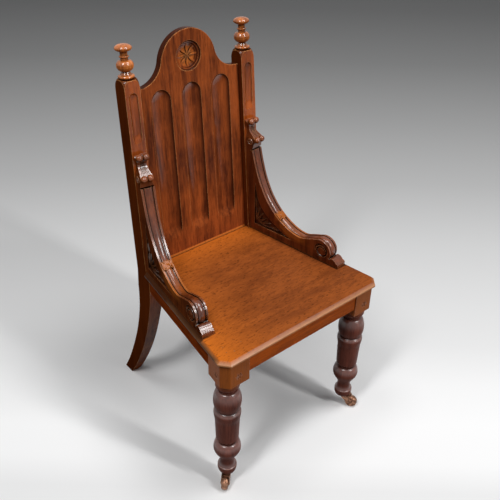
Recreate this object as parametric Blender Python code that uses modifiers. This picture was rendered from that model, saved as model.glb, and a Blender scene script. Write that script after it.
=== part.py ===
"""A Gothic-revival oak hall chair: plain board seat, fluted back panel between raked
stiles that run down as sabre legs, carved scroll wings, turned front legs on brass
casters. Metres, +Z up, the chair faces -Y, the origin is on the floor at its centre."""

import bpy
import bmesh
from math import atan, cos, hypot, pi, radians, sin, sqrt
from mathutils import Matrix, Vector

# Clearances
gap = 0.0003
overrun = 0.004
bore_gap = 0.0004
merge_limit = 0.00001
flat_angle = radians(0.2)

# Seat board: a trapezium with cut front corners and a chamfered edge
seat_height = 0.445
seat_thickness = 0.012
half_depth = 0.2819
edge_overhang = 0.008
edge_chamfer = 0.0078
seat_front_half_width = 0.2483
seat_back_half_width = 0.1871
corner_cut = 0.018
panel_face_y = 0.1324

# Rails under the seat
rail_inset = 0.0015
rail_thickness = 0.022
rail_bottom = 0.382
rail_edge_round = 0.0012
tenon_thickness = 0.010
tenon_shoulder = 0.007
front_tenon_length = 0.020
stile_tenon_length = 0.017
back_rail_front_y = 0.120
back_rail_thickness = 0.028
back_tenon_length = 0.014

# Front legs: turned below a block that follows the seat's corner
leg_axis_from_side = 0.0370
leg_axis_from_front = 0.0342
leg_block_half = 0.0365
leg_block_proud = 0.0027
leg_block_drop = 0.022
leg_block_round = 0.0010
leg_foot_height = 0.0420
leg_ball_radius = 0.0342
leg_ring_radius = 0.0334
leg_neck_radius = 0.0290
leg_cove_radius = 0.0205
leg_groove_radius = 0.0258
leg_waist_radius = 0.0282
leg_hollow_radius = 0.0215
leg_bulge_radius = 0.0342
leg_ankle_radius = 0.0178
leg_arris_radius = 0.0236
leg_toe_radius = 0.0242
leg_sole_radius = 0.0180
leg_neck_height = 0.3395
leg_cove_height = 0.3330
leg_cove_foot = 0.3245
leg_ball_height = 0.2905
leg_groove_height = 0.2640
leg_ring_height = 0.2515
leg_ring_foot = 0.2495
leg_shaft_radius = 0.0304
leg_shaft_height = 0.2250
leg_waist_height = 0.1640
leg_hollow_height = 0.1590
leg_hollow_foot = 0.1520
leg_bulge_height = 0.1275
leg_ankle_top = 0.0840
leg_ankle_height = 0.0800
leg_arris_height = 0.0640
leg_toe_top = 0.0615
leg_toe_height = 0.0565
leg_flower_radius = 0.0080
leg_flower_depth = 0.0016
leg_flower_height = 0.3865
leg_flower_inward = 0.0050
flower_lobes = 6
flower_lobe_share = 0.22

# Stiles: back post and sabre leg sawn from one plank
stile_outer_x = 0.1914
stile_width = 0.0404
stile_lean = 0.0071
stile_rake = 0.0791
stile_post_depth = 0.0401
stile_ahead_of_panel = 0.0133
stile_shoulder_height = 0.9110
stile_top_height = 0.9360
foot_outer_x = 0.1885
foot_width = 0.0295
foot_depth = 0.0360
knee_front_y = 0.1074
knee_back_y = 0.1620
shoulder_top_radius = 0.0185
stile_flute_width = 0.0235
stile_flute_depth = 0.0055
stile_flute_bottom = 0.7850
stile_flute_top = 0.9070

# Back panel: a board with three flutes, an arched crest and a dished roundel
panel_thickness = 0.020
panel_tongue_thickness = 0.008
panel_tongue_depth = 0.006
panel_shoulder_height = 0.9055
panel_arris = 0.0022
crest_centre_height = 0.9385
crest_radius = 0.0795
crest_cove_radius = 0.0620
panel_flute_width = 0.0570
panel_flute_pitch = 0.0878
panel_flute_depth = 0.0075
panel_flute_bottom = 0.4960
panel_flute_top = 0.8915
panel_flute_ramp = 0.030
roundel_height = 0.9543
roundel_radius = 0.0357
roundel_depth = 0.0085
roundel_shares = ((1, 0), (0.93, 0.55), (0.78, 0.90), (0.55, 1), (0.23, 1), (0.18, 0.72),
                  (0.11, 0.55), (0, 0.48))
petal_count = 8
petal_length = 0.0205
petal_width = 0.0108
petal_depth = 0.0034
petal_ring_radius = 0.0178

# Wings: carved arms that stand on the seat and run up into scrolls on the stiles
wing_thickness = 0.0312
wing_inset = 0.0006
wing_reach = 0.3000
wing_height = 0.3280
wing_fillet = 0.0048
wing_quirk = 0.0020
wing_quirk_depth = 0.0030
wing_band_depth = 0.0160
wing_bead_rise = 0.0016
wing_recess_depth = 0.0060
wing_border = 0.0190
wing_stile_border = 0.0140
wing_taper = 0.0075
volute_reach = 0.2405
volute_height = 0.0315
volute_radius = 0.0318
volute_start = radians(118)
volute_end = radians(-24)
volute_ring = 0.0110
volute_eye_radius = 0.0075
volute_eye_ahead = 0.0040
volute_sunk = 0.0040
boss_reach = 0.0985
boss_height = 0.0745
boss_half = 0.0108
boss_margin = 0.0024
boss_rise = 0.0034
boss_ease = 0.0020
bud_radius = 0.0086
bud_overlap = 0.0008
upper_bud_shares = (0.10, 0.30)
lower_bud_shares = (0.60, 0.05)
roll_shares = (2.6, 0.9)
scroll_radius = 0.0095
scroll_side_rise = 0.0022

# Finials, turned and doweled into the posts
finial_ring_radius = 0.0190
finial_ring_height = 0.9410
finial_ring_half = 0.0042
finial_ball_radius = 0.0198
finial_ball_height = 0.9655
finial_ball_half = 0.0125
finial_groove = 0.0012
finial_neck_radius = 0.0085
finial_hollow_radius = 0.0128
finial_seat_radius = 0.0176
finial_bead_radius = 0.0115
finial_bead_height = 0.9855
finial_bead_half = 0.0025
finial_button_radius = 0.0198
finial_button_height = 1.0040
finial_button_half = 0.0090
finial_dowel_radius = 0.0070
finial_dowel_length = 0.0240

# Dowels, glue blocks and wood screws
dowel_radius = 0.0045
seat_dowel_below = 0.018
seat_dowel_above = 0.016
stile_dowel_ahead = 0.010
stile_dowel_behind = 0.014
stile_dowel_height = 0.640
seat_dowel_reaches = (0.040, 0.200)
glue_block_side = 0.032
glue_block_height = 0.030
glue_block_cut = 0.014
block_screw_length = 0.0365
block_screw_radius = 0.0021
block_screw_head_radius = 0.0042
block_screw_head_depth = 0.0026
block_screw_inset = 0.0135
screw_slot_width = 0.0008
screw_slot_depth = 0.0008

# Brass casters
caster_trail = 0.027
caster_wheel_radius = 0.0175
caster_wheel_width = 0.0155
caster_wheel_crown = 0.0016
caster_groove = 0.0008
caster_wheel_shares = (0.40, 0.46, 0.27)
caster_plate_radius = 0.0170
caster_plate_thickness = 0.0024
caster_pin_radius = 0.0036
caster_pin_length = 0.024
caster_boss_radius = 0.0082
caster_boss_foot_radius = 0.0066
caster_cheek_thickness = 0.0024
caster_cheek_gap = 0.0007
caster_roof_gap = 0.0008
caster_eye_radius = 0.0056
caster_cheek_start = radians(-150)
caster_cheek_end = radians(20)
caster_roof_reach = 0.0230
caster_throat_reach = 0.0060
caster_throat_height = 0.0254
caster_axle_radius = 0.0022
caster_axle_head_radius = 0.0036
caster_axle_crown_radius = 0.0025
caster_axle_head = 0.0010
caster_screw_circle = 0.0118
caster_screw_radius = 0.0013
caster_screw_head_radius = 0.0027
caster_screw_head_depth = 0.0016
caster_screw_length = 0.0120
left_trail_direction = Vector((-0.0218, -0.0189, 0)).normalized()
right_trail_direction = Vector((0.0135, -0.0245, 0)).normalized()

# How finely round work is faceted
leg_facets = 22
finial_facets = 18
caster_facets = 20
screw_facets = 10
arc_steps = 7

# Derived planes
seat_bottom = seat_height - seat_thickness
front_y = -half_depth + edge_overhang
side_slope = (seat_front_half_width - seat_back_half_width) / (panel_face_y - front_y)
splay = atan(side_slope)
rake_angle = atan(stile_rake)
leg_axis_x = seat_front_half_width - leg_axis_from_side
leg_axis_y = front_y + leg_axis_from_front
stile_face_y = panel_face_y - stile_ahead_of_panel
stile_inner_x = stile_outer_x - stile_width
rail_top = seat_bottom - gap

for old in list(bpy.data.objects):
    bpy.data.objects.remove(old, do_unlink=True)

chair = bpy.data.collections.new("hall_chair")
cutters = bpy.data.collections.new("cutters")
bpy.context.scene.collection.children.link(chair)
bpy.context.scene.collection.children.link(cutters)


def finish(name, colour, roughness, metallic):
    """A Principled material of one flat colour."""
    made = bpy.data.materials.new(name)
    made.use_nodes = True
    shader = made.node_tree.nodes["Principled BSDF"]
    shader.inputs["Base Color"].default_value = (*colour, 1)
    shader.inputs["Roughness"].default_value = roughness
    shader.inputs["Metallic"].default_value = metallic
    return made


oak_seat = (0.34, 0.13, 0.035)
oak_dark = (0.085, 0.026, 0.012)
oak_red = (0.19, 0.055, 0.022)
oak_light = (0.36, 0.15, 0.05)
deal = (0.42, 0.27, 0.13)
brass_colour = (0.45, 0.24, 0.12)
iron_colour = (0.16, 0.15, 0.14)


# Modelling tools

def place(made, name, material, parent=None):
    """Name a finished mesh object, give it its material and put it in the chair."""
    made.name = name
    made.data.name = name
    made.data.materials.clear()
    made.data.materials.append(material)
    for owner in list(made.users_collection):
        owner.objects.unlink(made)
    chair.objects.link(made)
    if parent is not None:
        made.parent = parent
        made.matrix_parent_inverse = parent.matrix_world.inverted()
    return made


def as_cutter(made):
    """Hide a shape that only cuts or joins another."""
    for owner in list(made.users_collection):
        owner.objects.unlink(made)
    cutters.objects.link(made)
    made.hide_render = True
    made.display_type = "WIRE"
    return made


def object_from(mesh, name):
    made = bpy.data.objects.new(name, mesh)
    chair.objects.link(made)
    return made


def settle(made):
    """Turn an object with its modifiers into a plain mesh in world space."""
    bpy.context.view_layer.update()
    graph = bpy.context.evaluated_depsgraph_get()
    mesh = bpy.data.meshes.new_from_object(made.evaluated_get(graph))
    mesh.transform(made.matrix_world)
    work = bmesh.new()
    work.from_mesh(mesh)
    bmesh.ops.remove_doubles(work, verts=work.verts, dist=merge_limit)
    bmesh.ops.dissolve_limit(work, angle_limit=flat_angle, verts=work.verts, edges=work.edges)
    work.to_mesh(mesh)
    work.free()
    name = made.name
    bpy.data.objects.remove(made, do_unlink=True)
    return object_from(mesh, name)


def board(name, outline, thickness, frame=None):
    """A flat outline extruded by its thickness about the plane z = 0 of its frame."""
    curve = bpy.data.curves.new(name, "CURVE")
    curve.dimensions = "2D"
    curve.fill_mode = "BOTH"
    curve.extrude = thickness / 2
    spline = curve.splines.new("POLY")
    spline.points.add(len(outline) - 1)
    for point, (x, y) in zip(spline.points, outline):
        point.co = (x, y, 0, 1)
    spline.use_cyclic_u = True
    made = bpy.data.objects.new(name, curve)
    chair.objects.link(made)
    if frame is not None:
        made.matrix_world = frame
    return settle(made)


def slab(name, outline, bottom, top):
    """A plan outline that stands from one height to another."""
    return board(name, outline, top - bottom, Matrix.Translation((0, 0, (top + bottom) / 2)))


def block(name, low, high):
    """A square-edged box between two corners."""
    low, high = Vector(low), Vector(high)
    bpy.ops.mesh.primitive_cube_add(size=1, location=(low + high) / 2)
    made = bpy.context.active_object
    made.name = name
    made.scale = high - low
    return settle(made)


def turned(name, profile, facets, frame=None):
    """A lathe-turned solid, its profile listed from top to bottom as (radius, height)."""
    mesh = bpy.data.meshes.new(name)
    points = [(radius, 0, height) for radius, height in profile]
    mesh.from_pydata(points, [(i, i + 1) for i in range(len(points) - 1)], [])
    made = object_from(mesh, name)
    screw = made.modifiers.new("turn", "SCREW")
    screw.steps = facets
    screw.render_steps = facets
    screw.use_merge_vertices = True
    screw.merge_threshold = merge_limit
    if frame is not None:
        made.matrix_world = frame
    return settle(made)


def peg(name, radius, start, end, facets=screw_facets):
    """A plain round pin from one point to another."""
    start, end = Vector(start), Vector(end)
    run = end - start
    turn = Vector((0, 0, 1)).rotation_difference(run).to_matrix().to_4x4()
    profile = [(0, run.length), (radius, run.length), (radius, 0), (0, 0)]
    return turned(name, profile, facets, Matrix.Translation(start) @ turn)


def boolean(made, other, operation):
    step = made.modifiers.new(other.name, "BOOLEAN")
    step.operation = operation
    step.solver = "EXACT"
    step.object = other
    result = settle(made)
    bpy.data.objects.remove(other, do_unlink=True)
    return result


def cut(made, other):
    return boolean(made, as_cutter(other), "DIFFERENCE")


def join(made, other):
    return boolean(made, as_cutter(other), "UNION")


def eased(made, width, angle=radians(40), segments=1):
    """Take the sharpness off every arris of a piece."""
    soften = made.modifiers.new("ease", "BEVEL")
    soften.width = width
    soften.segments = segments
    soften.limit_method = "ANGLE"
    soften.angle_limit = angle
    soften.use_clamp_overlap = True
    return settle(made)


def smooth(made, angle=radians(35)):
    made.data.shade_smooth()
    made.data.set_sharp_from_angle(angle=angle)
    return made


def mirrored(made, name):
    """The other-handed copy of a settled piece."""
    mesh = made.data.copy()
    work = bmesh.new()
    work.from_mesh(mesh)
    bmesh.ops.scale(work, vec=(-1, 1, 1), verts=work.verts)
    bmesh.ops.reverse_faces(work, faces=work.faces)
    work.to_mesh(mesh)
    work.free()
    return object_from(mesh, name)


def loft(name, sections):
    """A closed solid through loops of points that all have the same count."""
    work = bmesh.new()
    rings = [[work.verts.new(point) for point in section] for section in sections]
    count = len(sections[0])
    for ring, after in zip(rings, rings[1:]):
        for i in range(count):
            j = (i + 1) % count
            work.faces.new((ring[i], ring[j], after[j], after[i]))
    work.faces.new(list(reversed(rings[0])))
    work.faces.new(rings[-1])
    bmesh.ops.recalc_face_normals(work, faces=work.faces)
    bmesh.ops.triangulate(work, faces=work.faces)
    mesh = bpy.data.meshes.new(name)
    work.to_mesh(mesh)
    work.free()
    return object_from(mesh, name)


def outset(points, amounts):
    """Move each side of a counter-clockwise outline outwards by its own amount."""
    lines = []
    for i, amount in enumerate(amounts):
        start = Vector(points[i])
        run = (Vector(points[(i + 1) % len(points)]) - start).normalized()
        lines.append((start + amount * Vector((run.y, -run.x)), run))
    moved = []
    for i, (start, run) in enumerate(lines):
        before, before_run = lines[i - 1]
        across = before_run.x * run.y - before_run.y * run.x
        offset = start - before
        along = (offset.x * run.y - offset.y * run.x) / across
        moved.append(tuple(before + along * before_run))
    return moved


def arc(centre, radius, start, end, steps=arc_steps):
    """Points along a circle, angles in radians."""
    angles = [start + (end - start) * i / steps for i in range(steps + 1)]
    return [(centre[0] + radius * cos(a), centre[1] + radius * sin(a)) for a in angles]


def side_x(y):
    """Half width of the seat's top surface at a depth."""
    return seat_front_half_width - side_slope * (y - front_y)


def seat_line(amount, y):
    """Half width, at a depth, of a line parallel to the seat's side and outside it."""
    return side_x(y) + amount / cos(splay)


# Finishes

seat_oak = finish("seat oak", oak_seat, 0.28, 0)
dark_oak = finish("dark oak", oak_dark, 0.25, 0)
red_oak = finish("red oak", oak_red, 0.30, 0)
light_oak = finish("light oak", oak_light, 0.30, 0)
deal_wood = finish("deal", deal, 0.70, 0)
brass = finish("brass", brass_colour, 0.38, 1)
iron = finish("iron", iron_colour, 0.45, 1)


# Stiles: each is sawn from a plank that is straight above the seat and swept below it

def stile_outer(z):
    """Outer face of a stile: leaning in above the seat, tapering in below it."""
    if z > seat_bottom:
        return stile_outer_x - stile_lean * (z - seat_height)
    return foot_outer_x + (stile_outer_x - foot_outer_x) * z / seat_bottom


def stile_inner(z):
    if z > rail_bottom:
        return stile_outer(z) - stile_width
    width = foot_width + (stile_width - foot_width) * z / rail_bottom
    return stile_outer(z) - width


def post_front(z):
    return stile_face_y + stile_rake * (z - seat_height)


foot_front_y = half_depth - foot_depth
sabre_levels_shares = (0, 0.10, 0.20, 0.30, 0.42, 0.54, 0.66, 0.78, 0.90, 1)
sabre_front_shares = (0, 0.165, 0.315, 0.45, 0.595, 0.715, 0.815, 0.90, 0.968, 1)
sabre_back_shares = (0, 0.180, 0.335, 0.475, 0.630, 0.765, 0.872, 0.955, 0.995, 1)


def stile_section(z, front, back):
    return [(-stile_outer(z), front, z), (-stile_inner(z), front, z),
            (-stile_inner(z), back, z), (-stile_outer(z), back, z)]


def stile_sections():
    sections = []
    for level, ahead, behind in zip(sabre_levels_shares, sabre_front_shares, sabre_back_shares):
        z = level * rail_bottom
        front = foot_front_y + ahead * (knee_front_y - foot_front_y)
        back = half_depth + behind * (knee_back_y - half_depth)
        sections.append(stile_section(z, front, back))
    top = stile_top_height
    post_back = post_front(seat_bottom) + stile_post_depth
    sections.append(stile_section(seat_bottom - gap, knee_front_y, post_back))
    sections.append(stile_section(seat_bottom, post_front(seat_bottom), post_back))
    sections.append(stile_section(top, post_front(top), post_front(top) + stile_post_depth))
    return sections


post_axis_x = stile_outer(stile_top_height) - stile_width / 2
post_axis_y = post_front(stile_top_height) + stile_post_depth / 2


def post_frame(height):
    """A frame on the left post's axis, tilted with its rake, at a height."""
    y = post_axis_y + stile_rake * (height - stile_top_height)
    x = -post_axis_x - stile_lean * (height - stile_top_height)
    return Matrix.Translation((x, y, height)) @ Matrix.Rotation(-rake_angle, 4, "X")


def shoulder_lathe():
    """The turned shape that rounds the top of a square post into arched shoulders."""
    corner = hypot(stile_width, stile_post_depth) / 2 + overrun
    drop = stile_top_height - stile_shoulder_height
    profile = [(0, 0)]
    for i in range(arc_steps + 1):
        swing = pi / 2 * i / arc_steps
        radius = shoulder_top_radius + (corner - overrun - shoulder_top_radius) * sin(swing)
        profile.append((radius, -drop * (1 - cos(swing))))
    return profile + [(corner, -drop - 2 * overrun), (0, -drop - 2 * overrun)]


def scoop(name, width, depth, bottom, top, ramp, frame):
    """A round-bottomed groove cutter with a round scooped top and a ramp at its foot."""
    sections = []
    half = width / 2
    stations = [bottom + ramp * sqrt(i / arc_steps) for i in range(1, arc_steps)]
    stations += [bottom + ramp, top - half]
    stations += [top - half + half * sin(pi / 2 * i / arc_steps) for i in range(1, arc_steps)]
    for u in stations:
        if u < bottom + ramp:
            share = sqrt((u - bottom) / ramp)
            wide, deep = half * (1 - (1 - share) / 2), depth * share
        elif u > top - half:
            wide = sqrt(max(half ** 2 - (u - top + half) ** 2, (overrun / 4) ** 2))
            deep = depth * wide / half
        else:
            wide, deep = half, depth
        floor = [(wide * cos(a), u, -deep * sin(a))
                 for a in [pi * i / arc_steps for i in range(arc_steps + 1)]]
        section = [(wide, u, overrun)] + floor + [(-wide, u, overrun)]
        sections.append([frame @ Vector(point) for point in section])
    return loft(name, sections)


def raked_frame(x, face_y):
    """Frame of a raked front face: x across, y up the face, z out of the face."""
    return (Matrix.Translation((x, face_y, seat_height))
            @ Matrix.Rotation(pi / 2 - rake_angle, 4, "X"))


def up_the_face(z):
    """Distance up a raked face for a height above the floor."""
    return (z - seat_height) / cos(rake_angle)


def everything_below(name, height):
    """A box that trims away what lies under a height."""
    reach = seat_height
    return block(name, (-reach, -reach, height - reach), (reach, reach, height))


def along_the_side(outer, inner, start, end):
    """Plan of a strip beside the seat's left edge, between two depths."""
    return [(-seat_line(outer, start), start), (-seat_line(inner, start), start),
            (-seat_line(inner, end), end), (-seat_line(outer, end), end)]


def tenon_outline(grow):
    """Plan of the left side rail's tenoned core, from leg to stile."""
    outer = rail_thickness / 2 - tenon_thickness / 2 - grow
    inner = outer + tenon_thickness + 2 * grow
    start = leg_axis_y + leg_block_half - front_tenon_length - grow
    end = knee_front_y + stile_tenon_length + grow
    return along_the_side(-rail_inset - outer, -rail_inset - inner, start, end)


def side_tenons(name, grow):
    return slab(name, tenon_outline(grow), rail_bottom + tenon_shoulder - grow,
                rail_top - tenon_shoulder + grow)


def front_tenons(name, grow):
    middle = front_y + rail_inset + rail_thickness / 2
    reach = leg_axis_x - leg_block_half + front_tenon_length + grow
    half = tenon_thickness / 2 + grow
    return block(name, (-reach, middle - half, rail_bottom + tenon_shoulder - grow),
                 (reach, middle + half, rail_top - tenon_shoulder + grow))


def back_tenons(name, grow):
    middle = back_rail_front_y + back_rail_thickness / 2
    reach = stile_inner_x + back_tenon_length + grow
    half = tenon_thickness / 2 + grow
    return block(name, (-reach, middle - half, rail_bottom + tenon_shoulder - grow),
                 (reach, middle + half, rail_top - tenon_shoulder + grow))


def panel_half_width(z):
    return stile_inner(z) - gap


def tongue(name, grow):
    """The panel's tongue, a thin board that runs into the stiles' grooves."""
    bottom = seat_bottom + panel_arris * 3 - grow
    top = panel_shoulder_height - panel_arris * 3 + grow
    reach = panel_tongue_depth + grow
    outline = [(-stile_inner(bottom) - reach, up_the_face(bottom)),
               (stile_inner(bottom) + reach, up_the_face(bottom)),
               (stile_inner(top) + reach, up_the_face(top)),
               (-stile_inner(top) - reach, up_the_face(top))]
    frame = raked_frame(0, panel_face_y) @ Matrix.Translation((0, 0, -panel_thickness / 2))
    return board(name, outline, panel_tongue_thickness + 2 * grow, frame)


def wing_frame():
    """Frame of the left wing: x forward along the wing, y up, z to its outer side."""
    forward = Vector((-sin(splay), -cos(splay), 0))
    outward = Vector((-cos(splay), sin(splay), 0))
    middle = seat_line(-wing_inset - wing_thickness / 2, stile_face_y)
    frame = Matrix.Identity(4)
    for column, axis in enumerate((forward, Vector((0, 0, 1)), outward)):
        frame.col[column] = (*axis, 0)
    frame.translation = (-middle, stile_face_y, seat_height)
    return frame


left_wing_frame = wing_frame()


def seat_dowel(name, reach, grow):
    """A dowel up through the left side rail and the seat into the wing's foot."""
    over_rail = wing_thickness / 2 + wing_inset - rail_inset - rail_thickness / 2
    spot = left_wing_frame @ Vector((reach, 0, over_rail))
    low = (spot.x, spot.y, seat_bottom - seat_dowel_below - grow)
    high = (spot.x, spot.y, seat_height + seat_dowel_above + grow)
    return peg(name, dowel_radius + grow, low, high)


def stile_dowel(name, grow):
    """A dowel from the left stile into the back of the wing."""
    middle_x = (left_wing_frame @ Vector((0, 0, 0))).x
    y = post_front(stile_dowel_height)
    start = (middle_x, y - stile_dowel_ahead - grow, stile_dowel_height)
    end = (middle_x, y + stile_dowel_behind + grow, stile_dowel_height)
    return peg(name, dowel_radius + grow, start, end)


def make_stiles():
    left = loft("left_stile", stile_sections())
    reach = 2 * stile_width
    waste = block("waste", (-reach, -reach, stile_shoulder_height - stile_top_height - overrun),
                  (reach, reach, overrun))
    waste.data.transform(post_frame(stile_top_height))
    lathe = turned("shoulder", shoulder_lathe(), leg_facets, post_frame(stile_top_height))
    left = cut(left, cut(waste, lathe))
    flute_x = -(stile_outer(stile_flute_top) - stile_width / 2)
    flute_frame = raked_frame(flute_x, stile_face_y)
    left = cut(left, scoop("flute", stile_flute_width, stile_flute_depth,
                           up_the_face(stile_flute_bottom), up_the_face(stile_flute_top),
                           stile_flute_width, flute_frame))
    left = cut(left, tongue("groove", gap))
    left = cut(left, side_tenons("mortise", gap))
    left = cut(left, back_tenons("mortise", gap))
    left = cut(left, stile_dowel("hole", gap))
    bore = peg("bore", finial_dowel_radius + gap, (0, 0, -finial_dowel_length - gap),
               (0, 0, overrun), finial_facets)
    bore.data.transform(post_frame(stile_top_height))
    left = cut(left, bore)
    right = mirrored(left, "right_stile")
    place(left, "left_stile", dark_oak)
    place(right, "right_stile", dark_oak)


# Rails

def side_rail():
    start = leg_axis_y + leg_block_half + gap
    end = knee_front_y - gap
    outline = along_the_side(-rail_inset, -rail_inset - rail_thickness, start, end)
    rail = eased(slab("rail", outline, rail_bottom, rail_top), rail_edge_round)
    rail = join(rail, side_tenons("tenon", 0))
    for reach in seat_dowel_reaches:
        rail = cut(rail, seat_dowel("hole", reach, gap))
    return rail


def make_rails():
    left = side_rail()
    right = mirrored(left, "right_side_rail")
    place(left, "left_side_rail", dark_oak)
    place(right, "right_side_rail", dark_oak)
    reach = leg_axis_x - leg_block_half - gap
    front = block("rail", (-reach, front_y + rail_inset, rail_bottom),
                  (reach, front_y + rail_inset + rail_thickness, rail_top))
    front = join(eased(front, rail_edge_round), front_tenons("tenon", 0))
    place(front, "front_rail", dark_oak)
    reach = stile_inner(rail_bottom) - gap
    back = block("rail", (-reach, back_rail_front_y, rail_bottom),
                 (reach, back_rail_front_y + back_rail_thickness, rail_top))
    back = join(eased(back, rail_edge_round), back_tenons("tenon", 0))
    place(back, "back_rail", dark_oak)


# Seat board

def seat_outline():
    """Counter-clockwise plan of the seat's top face, notched round the stiles."""
    notch_y = post_front(seat_height) - gap - stile_rake * seat_thickness
    back_y = panel_face_y - gap - stile_rake * seat_thickness
    cut_y = front_y + corner_cut
    right = [(seat_front_half_width - corner_cut, front_y), (side_x(cut_y), cut_y),
             (side_x(notch_y), notch_y), (stile_inner_x - gap, notch_y), (stile_inner_x - gap, back_y)]
    left = [(-x, y) for x, y in reversed(right)]
    moulded = [edge_overhang] * 2 + [0] * 5 + [edge_overhang] * 3
    return outset(right + left, moulded)


def glue_block_corner(rear):
    """Inner corner of the frame, on the left, that a glue block fills."""
    if rear:
        return -(stile_inner(seat_bottom) - gap), back_rail_front_y - gap, -1
    return -(leg_axis_x - leg_block_half - gap), front_y + rail_inset + rail_thickness + gap, 1


def block_screw(name, rear, grow):
    x, y, into = glue_block_corner(rear)
    base = rail_top - glue_block_height
    head, shank = block_screw_head_radius + grow, block_screw_radius + grow
    profile = [(0, block_screw_length + grow), (shank, block_screw_length - shank + grow),
               (shank, block_screw_head_depth), (head, grow), (head, -grow), (0, -grow)]
    if grow == 0:
        profile = profile[:4] + [(0, 0)]
    spot = Matrix.Translation((x + block_screw_inset, y + into * block_screw_inset, base + gap))
    return turned(name, profile, screw_facets, spot)


def make_seat():
    seat = slab("seat_board", seat_outline(), seat_bottom, seat_height)
    mesh = seat.data
    weights = mesh.attributes.new("bevel_weight_edge", "FLOAT", "EDGE")
    notch = post_front(seat_height) - gap * 4
    for edge in mesh.edges:
        ends = [mesh.vertices[i].co for i in edge.vertices]
        on_top = all(abs(end.z - seat_height) < gap for end in ends)
        outside = all(end.y < notch + gap and abs(end.x) > stile_inner_x + gap for end in ends)
        across_back = all(end.y > notch - stile_rake * seat_thickness - gap * 2 for end in ends)
        weights.data[edge.index].value = 1.0 if on_top and outside and not across_back else 0.0
    chamfer = seat.modifiers.new("chamfer", "BEVEL")
    chamfer.limit_method = "WEIGHT"
    chamfer.width = edge_chamfer
    chamfer.segments = 1
    seat = settle(seat)
    for reach in seat_dowel_reaches:
        hole = seat_dowel("hole", reach, gap)
        other = mirrored(hole, "hole_right")
        seat = cut(cut(seat, hole), other)
    for rear in (False, True):
        hole = block_screw("hole", rear, bore_gap)
        other = mirrored(hole, "hole_right")
        seat = cut(cut(seat, hole), other)
    place(seat, "seat_board", seat_oak)


def make_glue_blocks():
    for rear, where in ((False, "front"), (True, "rear")):
        x, y, into = glue_block_corner(rear)
        far_x, far_y = x + glue_block_side, y + into * glue_block_side
        outline = [(x, y), (far_x, y), (far_x, y + into * glue_block_cut),
                   (x + glue_block_cut, far_y), (x, far_y)]
        if into < 0:
            outline.reverse()
        left = slab("glue_block", outline, rail_top - glue_block_height, rail_top)
        left = cut(left, block_screw("hole", rear, bore_gap))
        screw = block_screw("screw", rear, 0)
        x_low = x + block_screw_inset - block_screw_head_radius
        y_mid = y + into * block_screw_inset
        base = rail_top - glue_block_height
        slot = block("slot", (x_low - overrun, y_mid - screw_slot_width / 2, base - overrun),
                     (x_low + 2 * block_screw_head_radius + overrun, y_mid + screw_slot_width / 2,
                      base + gap + screw_slot_depth))
        screw = cut(screw, slot)
        right = mirrored(left, "block_right")
        screw_right = mirrored(screw, "screw_right")
        place(left, "left_" + where + "_glue_block", deal_wood)
        place(right, "right_" + where + "_glue_block", deal_wood)
        place(smooth(screw), "left_" + where + "_block_screw", iron)
        place(smooth(screw_right), "right_" + where + "_block_screw", iron)


# Front legs

def ogee(start, end, steps=arc_steps):
    """An S-shaped run between two (radius, height) points."""
    points = []
    for i in range(1, steps + 1):
        share = i / steps
        eased_share = (1 - cos(pi * share)) / 2
        points.append((start[0] + (end[0] - start[0]) * eased_share,
                       start[1] + (end[1] - start[1]) * share))
    return points


def swell(start, end, steps=4):
    """A quarter round between two (radius, height) points: level first, then upright."""
    turns = [pi / 2 * i / steps for i in range(1, steps + 1)]
    return [(start[0] + (end[0] - start[0]) * sin(a), start[1] + (end[1] - start[1]) * (1 - cos(a)))
            for a in turns]


def tuck(start, end, steps=4):
    """A quarter round between two (radius, height) points: upright first, then level."""
    turns = [pi / 2 * i / steps for i in range(1, steps + 1)]
    return [(start[0] + (end[0] - start[0]) * (1 - cos(a)), start[1] + (end[1] - start[1]) * sin(a))
            for a in turns]


def bead(radius, inner, height, half, steps=arc_steps):
    """A rounded ring, from its top edge to its bottom edge."""
    angles = [pi / 2 - pi * i / steps for i in range(steps + 1)]
    return [(inner + (radius - inner) * cos(a), height + half * sin(a)) for a in angles]


def leg_profile():
    block_bottom = rail_bottom - leg_block_drop
    profile = [(0, block_bottom + overrun), (leg_neck_radius, block_bottom + overrun),
               (leg_neck_radius, leg_neck_height), (leg_cove_radius, leg_cove_height)]
    cove, ball = (leg_cove_radius, leg_cove_foot), (leg_ball_radius, leg_ball_height)
    groove = (leg_groove_radius, leg_groove_height)
    profile += [cove] + swell(cove, ball) + tuck(ball, groove)
    profile += swell(groove, (leg_ring_radius, leg_ring_height))
    profile += [(leg_ring_radius, leg_ring_foot)]
    profile += ogee((leg_ring_radius, leg_ring_foot), (leg_shaft_radius, leg_shaft_height), 3)
    profile += [(leg_waist_radius, leg_waist_height), (leg_hollow_radius, leg_hollow_height)]
    hollow, widest = (leg_hollow_radius, leg_hollow_foot), (leg_bulge_radius, leg_bulge_height)
    profile += [hollow] + swell(hollow, widest)
    profile += ogee(widest, (leg_ankle_radius, leg_ankle_top), 6)
    ankle = (leg_ankle_radius, leg_ankle_height)
    profile += [ankle] + tuck(ankle, (leg_arris_radius, leg_arris_height))
    profile += [(leg_toe_radius, leg_toe_top), (leg_toe_radius, leg_toe_height)]
    profile += tuck((leg_toe_radius, leg_toe_height), (leg_sole_radius, leg_foot_height))
    return profile + [(0, leg_foot_height)]


def leg_block_outline():
    """Plan of the left leg's block: front and side follow the seat, one corner cut."""
    inner_x = leg_axis_x - leg_block_half
    back_y = leg_axis_y + leg_block_half
    cut_y = front_y + corner_cut
    plan = [(-inner_x, front_y), (-inner_x, back_y), (-side_x(back_y), back_y),
            (-side_x(cut_y), cut_y), (-seat_front_half_width + corner_cut, front_y)]
    proud = leg_block_proud - rail_inset
    return outset(plan, [0, 0, proud, proud, proud])


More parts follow.
